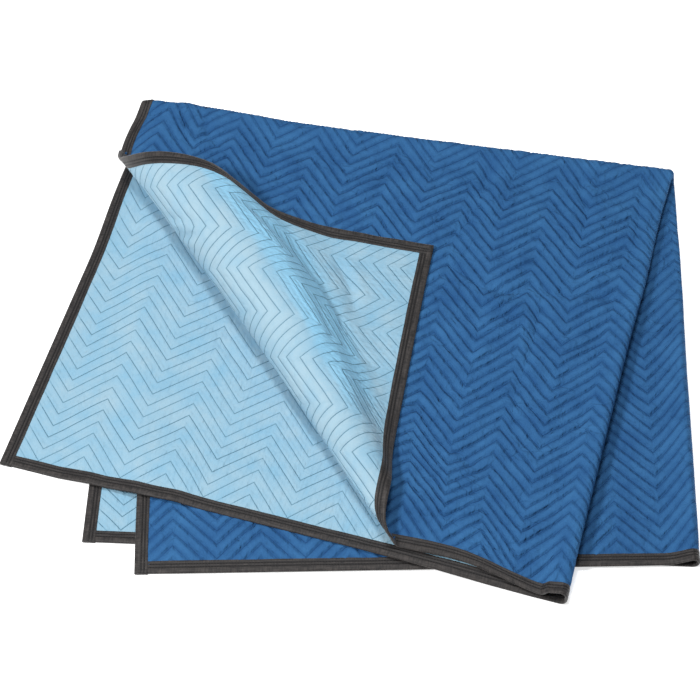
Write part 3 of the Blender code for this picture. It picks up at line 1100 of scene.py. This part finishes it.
@dataclass(frozen=True)
class BindingTape:
    """Spunbonded polyester edge tape, folded and ironed: nearly black, ribbed along its length."""

    name: str = "spunbonded_edge_tape"
    colour: str = "#151314"
    worn: str = "#423d3b"
    streak_mm: Pair = (25.0, 3.0)
    rib_mm: Pair = (2.4, 12.0)
    dusty: Pair = (0.14, 0.42)
    rise_mm: float = 0.6
    seam_mm: float = 1.8

    def build(self, section_mm: float, seams_mm: tuple[float, ...]) -> Material:
        """Makes the material, which reads the tape's own UV map: along it and round its section.

        Args:
            section_mm: Length round the tape's section, from leaf edge to leaf edge.
            seams_mm: Distances of the seams from a leaf edge, along which the tape is kept black, without
                the lighter streaks.

        Returns:
            The material.
        """
        material, tree, shader = new_material(self.name)
        flat = add_node(tree, "ShaderNodeUVMap", uv_map=FLAT_UV)
        grains = []
        for sizes_mm, detail in ((self.streak_mm, 4.0), (self.rib_mm, 2.0)):
            scale = (*map(per_metre, sizes_mm), 0.0)
            grain = add_node(tree, VECTOR_MATH, (flat, scale), operation="MULTIPLY")
            grains.append(add_node(tree, NOISE, {"Vector": grain, "Scale": 1.0, "Detail": detail}))
        both = add_node(tree, MATH, tuple(grains), operation="MULTIPLY")
        across = add_node(tree, "ShaderNodeSeparateXYZ", (flat,)).outputs["Y"]
        from_leaf = add_node(tree, MATH, (across, section_mm * MM / 2.0), operation="PINGPONG")
        dust = add_node(tree, SPAN, (both, *self.dusty))
        for seam in seams_mm:
            on_seam = add_node(tree, MATH, (from_leaf, seam * MM, self.seam_mm * MM), operation="COMPARE")
            dust = add_node(tree, MATH, (dust, on_seam), operation="SUBTRACT", use_clamp=True)
        inputs = {0: dust, 6: srgb(self.colour), 7: srgb(self.worn)}
        finish = {
            "Base Color": add_node(tree, MIX, inputs, data_type="RGBA"),
            "Normal": add_node(tree, BUMP, {"Height": both, "Distance": self.rise_mm * MM}),
            "Roughness": 0.6,
            "Sheen Weight": 0.15,
            "Specular IOR Level": 0.35,
        }
        fill(tree, shader, finish)
        return material


@dataclass(frozen=True)
class SewingThread:
    """Spun polyester thread: dyed, twisted and slightly glossy."""

    name: str
    colour: str
    twist_mm: float = 1.6
    shade: float = 0.6

    def build(self) -> Material:
        """Makes the material, whose twist is drawn on Object coordinates.

        Returns:
            The material.
        """
        material, tree, shader = new_material(self.name)
        place = add_node(tree, "ShaderNodeTexCoord").outputs["Object"]
        twist = add_node(tree, NOISE, {"Vector": place, "Scale": per_metre(self.twist_mm)})
        base = srgb(self.colour)
        dark = (*(part * self.shade for part in base[:3]), 1.0)
        finish = {
            "Base Color": add_node(tree, MIX, {0: twist, 6: dark, 7: base}, data_type="RGBA"),
            "Roughness": 0.55,
            "Specular IOR Level": 0.1,
            "Sheen Weight": 0.03,
        }
        fill(tree, shader, finish)
        return material


def add_object(name: str, data: Any, place: Any = (0.0, 0.0, 0.0), aim: Any = None) -> Object:
    """Puts an object into the scene, at a place and facing along aim.

    Args:
        name: Its name.
        data: Its mesh, lamp or camera.
        place: Where it stands, in metres.
        aim: Direction that it faces, if that matters.

    Returns:
        The object.
    """
    thing = bpy.data.objects.new(name, data)
    thing.location = place
    if aim is not None:
        thing.rotation_euler = Vector(aim).to_track_quat("-Z", "Y").to_euler()
    bpy.context.scene.collection.objects.link(thing)
    return thing


def new_object(name: str, mesh: Mesh, material: Material) -> Object:
    """Puts a mesh with its material into the scene, smoothly shaded.

    Args:
        name: The piece's name.
        mesh: Its mesh.
        material: Its finish.

    Returns:
        The piece.
    """
    mesh.materials.clear()
    mesh.materials.append(material)
    mesh.shade_smooth()
    return add_object(name, mesh)


def add_uv(mesh: Mesh, name: str, pairs: Array) -> None:
    """Adds a UV map in metres to a mesh.

    Args:
        mesh: The mesh.
        name: The map's name.
        pairs: Two millimetre values for each vertex.
    """
    corner = np.zeros(len(mesh.loops), np.int32)
    mesh.loops.foreach_get("vertex_index", corner)
    layer = mesh.uv_layers.new(name=name)
    layer.uv.foreach_set("vector", (pairs[corner] * MM).astype(np.float32).ravel())


def along_curves(name: str, lines: list[Array], tree: Any, sizes_mm: dict) -> Mesh:
    """Runs a node tree over open lines.

    Args:
        name: Name of the resulting mesh.
        lines: Points of each line, in metres.
        tree: Geometry Nodes tree that turns loose edges into the wanted mesh.
        sizes_mm: Values of the tree's inputs, by name, in millimetres.

    Returns:
        The finished plain mesh.
    """
    points = np.concatenate(lines)
    edges: list[tuple[int, int]] = []
    first = 0
    for line in lines:
        edges.extend((at, at + 1) for at in range(first, first + len(line) - 1))
        first += len(line)
    path = bpy.data.meshes.new(name + "_path")
    path.from_pydata(points.tolist(), edges, [])
    carrier = add_object(name + "_path", path)
    modifier = carrier.modifiers.new(name, "NODES")
    modifier.node_group = tree
    for item in tree.interface.items_tree:
        if item.item_type == "SOCKET" and item.in_out == "INPUT" and item.name in sizes_mm:
            modifier[item.identifier] = sizes_mm[item.name] * MM
    graph = bpy.context.evaluated_depsgraph_get()
    made = bpy.data.meshes.new_from_object(carrier.evaluated_get(graph))
    carrier.modifiers.remove(modifier)
    bpy.data.objects.remove(carrier)
    made.name = name
    return made


def new_tree(name: str, inputs: dict[str, float]) -> tuple[Any, Any, Any]:
    """A Geometry Nodes tree with float inputs.

    Args:
        name: The tree's name.
        inputs: Default values by input name.

    Returns:
        The tree, its input node and its output node.
    """
    tree = bpy.data.node_groups.new(name, "GeometryNodeTree")
    tree.interface.new_socket("Geometry", in_out="INPUT", socket_type="NodeSocketGeometry")
    for label, value in inputs.items():
        socket = tree.interface.new_socket(label, in_out="INPUT", socket_type="NodeSocketFloat")
        socket.default_value = value
    tree.interface.new_socket("Geometry", in_out="OUTPUT", socket_type="NodeSocketGeometry")
    return tree, tree.nodes.new("NodeGroupInput"), tree.nodes.new("NodeGroupOutput")


def finish_tree(tree: Any, end: Any, geometry: Any, material: Material) -> Any:
    """Ends a tree: its instances are made real, dressed and led to the output.

    Args:
        tree: The node tree.
        end: Its output node.
        geometry: The node that makes the geometry.
        material: The finish.

    Returns:
        The tree.
    """
    real = add_node(tree, "GeometryNodeRealizeInstances", {"Geometry": geometry})
    inputs = {"Geometry": real, "Material": material}
    fill(tree, end, {"Geometry": add_node(tree, "GeometryNodeSetMaterial", inputs)})
    return tree


def thread_tree(material: Material) -> Any:
    """Tree that lays a continuous thread along loose edges.

    Args:
        material: The thread's finish.

    Returns:
        The tree.
    """
    tree, start, end = new_tree("laid_thread", {"Thickness": 0.001})
    curve = add_node(tree, "GeometryNodeMeshToCurve", {"Mesh": start.outputs["Geometry"]})
    half = add_node(tree, MATH, (start.outputs["Thickness"], 0.5), operation="MULTIPLY")
    profile = add_node(tree, "GeometryNodeCurvePrimitiveCircle", {"Resolution": 3, "Radius": half})
    inputs = {"Curve": curve, "Profile Curve": profile, "Fill Caps": True}
    return finish_tree(tree, end, add_node(tree, "GeometryNodeCurveToMesh", inputs), material)


def stitch_tree(material: Material) -> Any:
    """Tree that sets separate stitches along loose edges.

    Args:
        material: The thread's finish.

    Returns:
        The tree.
    """
    sizes = {"Pitch": 0.005, "Stitch Length": 0.0036, "Thickness": 0.0009}
    tree, start, end = new_tree("row_of_stitches", sizes)
    curve = add_node(tree, "GeometryNodeMeshToCurve", {"Mesh": start.outputs["Geometry"]})
    inputs = {"Curve": curve, "Length": start.outputs["Pitch"]}
    points = add_node(tree, "GeometryNodeCurveToPoints", inputs, mode="LENGTH")
    inputs = tuple(start.outputs[name] for name in ("Thickness", "Thickness", "Stitch Length"))
    size = add_node(tree, "ShaderNodeCombineXYZ", inputs)
    inputs = {"Vector": points.outputs["Tangent"]}
    turn = add_node(tree, "FunctionNodeAlignRotationToVector", inputs, axis="Z")
    bead = add_node(tree, "GeometryNodeMeshIcoSphere", {"Radius": 0.5, "Subdivisions": 1})
    inputs = {"Points": points.outputs["Points"], "Instance": bead, "Rotation": turn, "Scale": size}
    return finish_tree(tree, end, add_node(tree, "GeometryNodeInstanceOnPoints", inputs), material)


@dataclass
class QuiltedCloth:
    """One of the two cloths, crowned between its quilting lines, with the thread that lies in them."""

    name: str
    node: str
    slot: str
    side: Side
    cloth: NonwovenCloth
    thread: SewingThread
    folding: Folding
    quilting: Quilting
    groove: float = 1.7
    crown: float = 1.4
    hidden_crown: float = 1.0
    swell: Pair = (0.7, 0.5)
    seed: int = 41
    broad: Pair = (26.0, 22.0)
    fine: Pair = (13.0, 17.0)
    broad_share: float = 0.6
    steps: tuple[int, int] = (10, 7)
    hem_depth: float = 0.7
    hem_edge: float = 1.0
    hem_from: float = 2.0
    hem_run: Pair = (-2.0, 16.0)
    tape_width: float = 22.0
    inset: float = 5.0
    held_run: Pair = (5.0, 60.0)
    side_pull: Pair = (36.0, 0.8)
    top_pull: Pair = (44.0, 0.92)
    thread_mm: float = 0.8
    sunk: Pair = (0.35, 0.5)

    def height(self, flat: Array, w: Array) -> Array:
        """Distance of the cloth from the blanket's middle surface.

        Args:
            flat: Flat points in millimetres.
            w: Places along the length, past the zigzag.

        Returns:
            The distance in millimetres at each point.
        """
        broad, fine = Unevenness(self.seed, self.broad), Unevenness(self.seed + 5, self.fine)
        swell = between(fine.at(flat), broad.at(flat), self.broad_share)
        least, more = self.swell
        crown = between(self.hidden_crown, self.crown, self.folding.shows(flat, self.side))
        full = self.groove + crown * self.quilting.crown(w) * (least + more * swell) * self.pulled(flat)
        inside = self.folding.blanket.edge_distance(flat)
        hem = between(self.hem_depth, self.hem_edge, smooth(inside, self.hem_from, self.tape_width))
        return between(hem, full, smooth(inside - self.tape_width, *self.hem_run))

    def pulled(self, flat: Array) -> Array:
        """Share of the crown that is left where the cloth is stretched round a fold.

        Args:
            flat: Flat points in millimetres.

        Returns:
            The share at each point.
        """
        top, side = self.folding.top_distance(flat), self.folding.side_distance(flat)
        left = np.ones(len(flat))
        for distance, (run, share) in ((top, self.top_pull), (side, self.side_pull)):
            left = left * (1.0 - share * np.exp(-((distance / run) ** 2)))
        return left

    def strayed(self, u: Array, v: Array, w: Array) -> Array:
        """Flat points of the strayed quilting, which is true again where the tape holds it."""
        inside = self.folding.blanket.edge_distance(np.column_stack([u, v]))
        return np.column_stack([u, v + self.quilting.wander(u, w) * smooth(inside, *self.held_run)])

    def build_mesh(self) -> Mesh:
        """The cloth as one open sheet on a grid that follows the zigzag lines.

        Returns:
            The mesh, with its two UV maps and its wear.
        """
        blanket, quilting = self.folding.blanket, self.quilting
        columns = quilting.columns(blanket, *self.steps)
        rows = quilting.rows(blanket)
        shift = quilting.zigzag(columns)
        low, high = self.inset, blanket.length - self.inset
        # In each column only the last row before an edge stays, moved onto that edge
        first = np.maximum(np.searchsorted(rows, low - shift) - 1, 0)
        last = np.minimum(np.searchsorted(rows, high - shift), len(rows) - 1)
        column, row = np.meshgrid(np.arange(len(columns)), np.arange(len(rows)), indexing="ij")
        kept_row = np.clip(row, first[:, None], last[:, None])
        used = (column * len(rows) + kept_row).ravel()
        kept, number = np.unique(used, return_inverse=True)
        u = columns[kept // len(rows)]
        v = np.clip(rows[kept % len(rows)] + quilting.zigzag(u), low, high)
        w = v - quilting.zigzag(u)
        flat = self.strayed(u, v, w)
        height = self.side.value * self.height(flat, w)
        places = self.folding.fold(np.column_stack([flat, height]))

        grid = number.reshape(len(columns), len(rows))
        corners = np.stack([grid[:-1, :-1], grid[1:, :-1], grid[1:, 1:], grid[:-1, 1:]], -1).reshape(-1, 4)
        if self.side is Side.DARK:
            corners = corners[:, ::-1]
        faces = [list(dict.fromkeys(face)) for face in corners.tolist()]
        mesh = bpy.data.meshes.new(self.name)
        mesh.from_pydata(places.tolist(), [], [face for face in faces if len(face) > 2])
        add_uv(mesh, FLAT_UV, flat)
        add_uv(mesh, QUILT_UV, np.column_stack([u, w]))
        # Worn along the folds on the dark side; painted light on the rolled corner on the light side
        worn = mesh.attributes.new(WEAR_AND_PAINTED_LIGHT, "FLOAT", "POINT")
        worn.data.foreach_set("value", self.folding.wear_and_painted_light(flat, self.side).astype(np.float32))
        return mesh

    def build_thread(self, material: Material) -> Mesh:
        """The quilting thread, sunk in the grooves of the cloth.

        Args:
            material: The thread's finish.

        Returns:
            The thread's mesh.
        """
        blanket, quilting = self.folding.blanket, self.quilting
        columns = quilting.columns(blanket, *self.steps)
        columns = columns[(columns > self.tape_width) & (columns < blanket.width - self.tape_width)]
        lines: list[Array] = []
        for low in quilting.lines(blanket):
            v = low + quilting.zigzag(columns)
            inside = (v > self.tape_width) & (v < blanket.length - self.tape_width)
            breaks = np.flatnonzero(np.diff(inside.astype(int))) + 1
            for part in np.split(np.arange(len(columns)), breaks):
                if len(part) < 2 or not inside[part[0]]:
                    continue
                w = np.full(len(part), low)
                flat = self.strayed(columns[part], v[part], w)
                sunk = self.sunk[0] - self.sunk[1] * self.pulled(flat)
                height = self.height(flat, w) - sunk * self.thread_mm
                lines.append(self.folding.fold(np.column_stack([flat, self.side.value * height])))
        sizes_mm = {"Thickness": self.thread_mm}
        return along_curves(self.name + "_quilting", lines, thread_tree(material), sizes_mm)

    def build(self) -> list[Object]:
        """Makes the cloth and its thread.

        Returns:
            The cloth and its thread.
        """
        cloth = new_object(self.name, self.build_mesh(), self.cloth.build(self.quilting))
        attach(cloth, "root")
        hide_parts(self.node)
        material = self.thread.build()
        thread = new_object(self.name + "_quilting", self.build_thread(material), material)
        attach(thread, "root")
        return [cloth, thread]


@dataclass
class EdgeTape:
    """A length of folded tape sewn over one edge, with two rows of stitches."""

    name: str
    node: str
    edge: Edge
    folding: Folding
    width: float = 22.0
    overhang: float = 1.2
    rise: float = 2.45
    stitch_rows: Pair = (10.5, 16.0)
    step: float = 4.5
    fold_step: float = 2.5
    pitch_mm: float = 5.0
    stitch_mm: float = 3.6
    thread_mm: float = 0.9
    seam_dip: float = 0.75
    end_inset: float = 3.0
    side_bend: Pair = (820.0, 1040.0)
    end_bend: Pair = (950.0, 1110.0)
    pucker: float = 0.5
    pucker_shift: float = 100.0
    stitch_margin: float = 4.0
    stitch_sunk: float = 0.55
    lap: float = 0.5
    lap_run: float = 12.0
    leaf_from: float = 1.2
    edge_wander: float = 0.7

    @property
    def on_side(self) -> bool:
        """Whether the tape lies on a side edge, over the ends of the end tapes."""
        return self.edge in (Edge.OUTER_SIDE, Edge.INNER_SIDE)

    def flat(self, along: Array, inside: Array) -> Array:
        """Flat points at distances along the edge and inside it.

        Args:
            along: Distances along the edge.
            inside: Distances inside it.

        Returns:
            The flat points.
        """
        blanket = self.folding.blanket
        far_edges = {Edge.INNER_SIDE: blanket.width, Edge.FRONT_END: blanket.length}
        across = far_edges[self.edge] - inside if self.edge in far_edges else inside
        return np.column_stack([across, along] if self.on_side else [along, across])

    def stations(self) -> Array:
        """Distances along the edge of the tape's cross-sections, closer together at the folds.

        Returns:
            The distances in millimetres.
        """
        blanket = self.folding.blanket
        first, last, bend = self.end_inset, blanket.width - self.end_inset, self.end_bend
        if self.on_side:
            first, last, bend = -self.overhang, blanket.length + self.overhang, self.side_bend
        before = np.arange(first, bend[0], self.step)
        beyond = np.arange(bend[1], last - 0.5 * self.step, self.step)
        return np.concatenate([before, np.arange(*bend, self.fold_step), beyond, [last]])

    def section(self) -> Array:
        """Closed section as distance inside the edge and height, round from the light side.

        Returns:
            Two numbers for each point.
        """
        (near, far), rise = self.stitch_rows, self.rise
        leaf = [(self.width, 1.0), (self.width, rise - 0.5), (self.width - 0.6, rise - 0.05)]
        for row in (far, near):
            leaf += [(row + 2.4, rise), (row + 1.1, rise - 0.2)]
            leaf += [(row, rise - self.seam_dip), (row - 1.1, rise - 0.2)]
        leaf += [(near - 3.5, rise + 0.1), (3.0, rise + 0.1), (0.8, rise - 0.35)]
        leaf += [(-0.6, rise - 1.3), (-self.overhang, 0.0)]
        light = np.array(leaf)
        dark = light[-2::-1] * np.array([1.0, -1.0])
        return np.concatenate([light, dark])

    def round_section(self) -> Array:
        """Distance round the section of each of its points, from one leaf edge to the other."""
        steps = np.linalg.norm(np.diff(self.section(), axis=0), axis=1)
        return np.concatenate([[0.0], np.cumsum(steps)])

    def seams(self) -> tuple[float, ...]:
        """Distances round the section from a leaf edge to the two rows of stitches.

        Returns:
            The distance to each row, in millimetres.
        """
        section = self.section()[: len(self.section()) // 2]
        at = [int(np.argmin(np.abs(section[:, 0] - row))) for row in self.stitch_rows]
        return tuple(float(self.round_section()[number]) for number in at)

    def heights(self, along: Array, inside: Array, height: Array) -> Array:
        """Section heights with the tape's own puckers, and a little more where it laps a corner.

        Args:
            along: Distances along the edge.
            inside: Distances inside it.
            height: Heights of the plain section there.

        Returns:
            The heights in millimetres.
        """
        # Every tape takes its puckers from a place of its own
        place = np.column_stack([along, inside + self.pucker_shift * len(self.name)])
        pucker = Unevenness(51, (9.0, 14.0)).at(place) - 0.5
        lift = self.pucker * pucker
        if self.on_side:
            from_end = np.minimum(along, self.folding.blanket.length - along)
            lift = lift + self.lap * (1.0 - smooth(from_end - self.width, 0.0, self.lap_run))
        return height + np.sign(height) * lift * (np.abs(height) > self.leaf_from)

    def build_mesh(self) -> Mesh:
        """The tape as one closed tube round the edge.

        Returns:
            The mesh, with its UV map.
        """
        section, stations = self.section(), self.stations()
        ring = len(section)
        along = np.repeat(stations, ring)
        inside, height = np.tile(section[:, 0], len(stations)), np.tile(section[:, 1], len(stations))
        wander = Unevenness(52, (38.0, 10.0)).at(np.column_stack([along, 0.0 * along])) - 0.5
        inside = inside + self.edge_wander * wander * (inside > self.stitch_rows[1] + 1.5)
        points = np.column_stack([self.flat(along, inside), self.heights(along, inside, height)])
        faces = [tuple(range(ring)), tuple(range(len(along) - ring, len(along)))]
        for base in range(0, len(along) - ring, ring):
            turn = [(base + at, base + (at + 1) % ring) for at in range(ring)]
            faces += [(at, after, ring + after, ring + at) for at, after in turn]
        mesh = bpy.data.meshes.new(self.name)
        mesh.from_pydata(points.tolist(), [], faces)
        shell = bmesh.new()
        shell.from_mesh(mesh)
        bmesh.ops.recalc_face_normals(shell, faces=shell.faces)
        shell.to_mesh(mesh)
        shell.free()
        mesh.vertices.foreach_set("co", self.folding.fold(points).ravel())
        add_uv(mesh, FLAT_UV, np.column_stack([along, np.tile(self.round_section(), len(stations))]))
        mesh.update()
        return mesh

    def build_stitches(self, material: Material) -> Mesh:
        """Both rows of stitches, on both faces of the tape.

        Args:
            material: The thread's finish.

        Returns:
            The mesh of all the stitches.
        """
        stations = self.stations()
        margin = self.stitch_margin if self.on_side else self.width
        stations = stations[(stations > margin) & (stations < stations[-1] - margin)]
        lines: list[Array] = []
        for row in self.stitch_rows:
            for side in Side:
                inside = np.full(len(stations), row)
                level = np.full(len(stations), side.value * (self.rise - self.stitch_sunk))
                flat = self.flat(stations, inside)
                height = self.heights(stations, inside, level)
                lines.append(self.folding.fold(np.column_stack([flat, height])))
        sizes_mm = {"Pitch": self.pitch_mm, "Stitch Length": self.stitch_mm, "Thickness": self.thread_mm}
        return along_curves(self.name + "_stitches", lines, stitch_tree(material), sizes_mm)

    def build(self, tape: Material, thread: Material) -> list[Object]:
        """Makes the tape and its stitches.

        Args:
            tape: The tape's material.
            thread: The stitches' material.

        Returns:
            Both pieces.
        """
        piece = new_object(self.name, self.build_mesh(), tape)
        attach(piece, "root")
        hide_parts(self.node)
        stitches = new_object(self.name + "_stitches", self.build_stitches(thread), thread)
        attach(stitches, "root")
        return [piece, stitches]


@dataclass(frozen=True)
class Lamp:
    """A round soft lamp that faces the blanket: place and size in metres, power in watts."""

    name: str
    place: tuple[float, float, float]
    size: float
    power: float

    def build(self) -> None:
        """Makes the lamp."""
        lamp = bpy.data.lights.new(self.name, "AREA")
        lamp.shape = "DISK"
        lamp.size = self.size
        lamp.energy = self.power
        add_object(self.name, lamp, self.place, -Vector(self.place))


@dataclass(frozen=True)
class Studio:
    """Pale floor, an even sky, soft lamps and the camera."""

    target: tuple[float, float, float] = (-0.74 * MM, -19.2 * MM, 0.0)
    distance: float = 4.8123
    elevation: float = math.radians(54.15)
    lens: float = 136.77
    sensor: float = 36.0
    floor_half: float = 20.0
    floor_colour: str = "#f4f4f4"
    floor_glow: float = 0.6
    sky: float = 0.28
    overhead: Lamp = Lamp("overhead_lamp", (0.0, 0.3, 4.2), 1.0, 83.0)
    side: Lamp = Lamp("side_lamp", (-2.0, -1.5, 3.3), 0.8, 108.0)

    def build_floor(self) -> None:
        """A plain translucent floor, lit a little from below; it stands for no piece of the object."""
        material, tree, shader = new_material("opal_acrylic_floor")
        finish = {
            "Base Color": srgb(self.floor_colour),
            "Emission Color": srgb("#ffffff"),
            "Emission Strength": self.floor_glow,
            "Roughness": 0.9,
        }
        fill(tree, shader, finish)
        half = self.floor_half
        corners = [(-half, -half, 0.0), (half, -half, 0.0), (half, half, 0.0), (-half, half, 0.0)]
        mesh = bpy.data.meshes.new("floor")
        mesh.from_pydata(corners, [], [(0, 1, 2, 3)])
        mesh.materials.append(material)
        floor = add_object("floor", mesh)

    def build_sky(self) -> None:
        """An even white sky."""
        world = bpy.data.worlds.new("studio")
        world.use_nodes = True
        inputs = {"Color": srgb("#ffffff"), "Strength": self.sky}
        fill(world.node_tree, world.node_tree.nodes["Background"], inputs)
        bpy.context.scene.world = world

    def build_camera(self) -> None:
        """A long lens that looks down on the front of the blanket."""
        camera = bpy.data.cameras.new("camera")
        camera.lens = self.lens
        camera.sensor_width = self.sensor
        camera.clip_end = 100.0
        away = Vector((0.0, -math.cos(self.elevation), math.sin(self.elevation))) * self.distance
        bpy.context.scene.camera = add_object("camera", camera, Vector(self.target) + away, -away)

    def build(self) -> None:
        """Makes the floor, the light and the camera."""
        self.build_floor()
        self.build_sky()
        self.overhead.build()
        self.side.build()
        self.build_camera()
        bpy.context.scene.view_settings.view_transform = "Standard"


def main() -> None:
    """Builds the blanket and its studio, in order."""
    logging.basicConfig(level=logging.INFO, format="%(name)s: %(message)s")
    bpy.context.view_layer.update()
    folding, quilting = Folding(), Quilting()
    light = QuiltedCloth(
        name="light_cloth",
        node="back_cloth",
        slot="light_cloth",
        side=Side.LIGHT,
        # Tones: paler (also the painted highlight on the roll's top), darker, painted groove and crease
        # shade, painted hollow shade
        cloth=NonwovenCloth("needled_cloth_light_blue", "#9ebbca", "#7daeca", "#5f8ca3", "#8fcaea"),
        thread=SewingThread("light_side_thread", "#2f5f78"),
        folding=folding,
        quilting=quilting,
    )
    dark = QuiltedCloth(
        name="dark_cloth",
        node="face_cloth",
        slot="dark_cloth",
        side=Side.DARK,
        cloth=NonwovenCloth(
            # Tones: paler, darker, painted groove and crease shade, and the painted hollow shade, which this
            # side never gets
            *("needled_cloth_dark_blue", "#376a9b", "#255182", "#123863", "#255182"),
            # Painted shade towards the quilting lines and paler crowns; painted shade in the grooves and
            # creases
            painted_crown_shade=0.2,
            line_mm=3.0,
            groove_shade=0.3,
            dip_mm=2.0,
            gather_rise_mm=2.2,
            crumple_rise_mm=1.4,
            crease_shade=0.12,
            sheen=0.0,
        ),
        thread=SewingThread("dark_side_thread", "#173f72"),
        folding=folding,
        quilting=quilting,
        crown=3.0,
        swell=(0.45, 0.95),
        seed=42,
        steps=(11, 5),
    )
    stitch_finish = SewingThread("tape_thread", "#171413").build()
    all_tapes = [EdgeTape("tape_" + edge.value, "tape_" + edge.value, edge, folding) for edge in Edge]
    tape_finish = BindingTape().build(float(all_tapes[0].round_section()[-1]), all_tapes[0].seams())
    tapes = [piece for tape in all_tapes for piece in tape.build(tape_finish, stitch_finish)]
    dark_piece, dark_thread = dark.build()
    light_piece, light_thread = light.build()
    for piece in (*tapes, dark_piece, dark_thread, light_piece, light_thread):
        LOG.info("%s: %d faces", piece.name, len(piece.data.polygons))
    Studio().build()


if __name__ == "__main__":
    main()
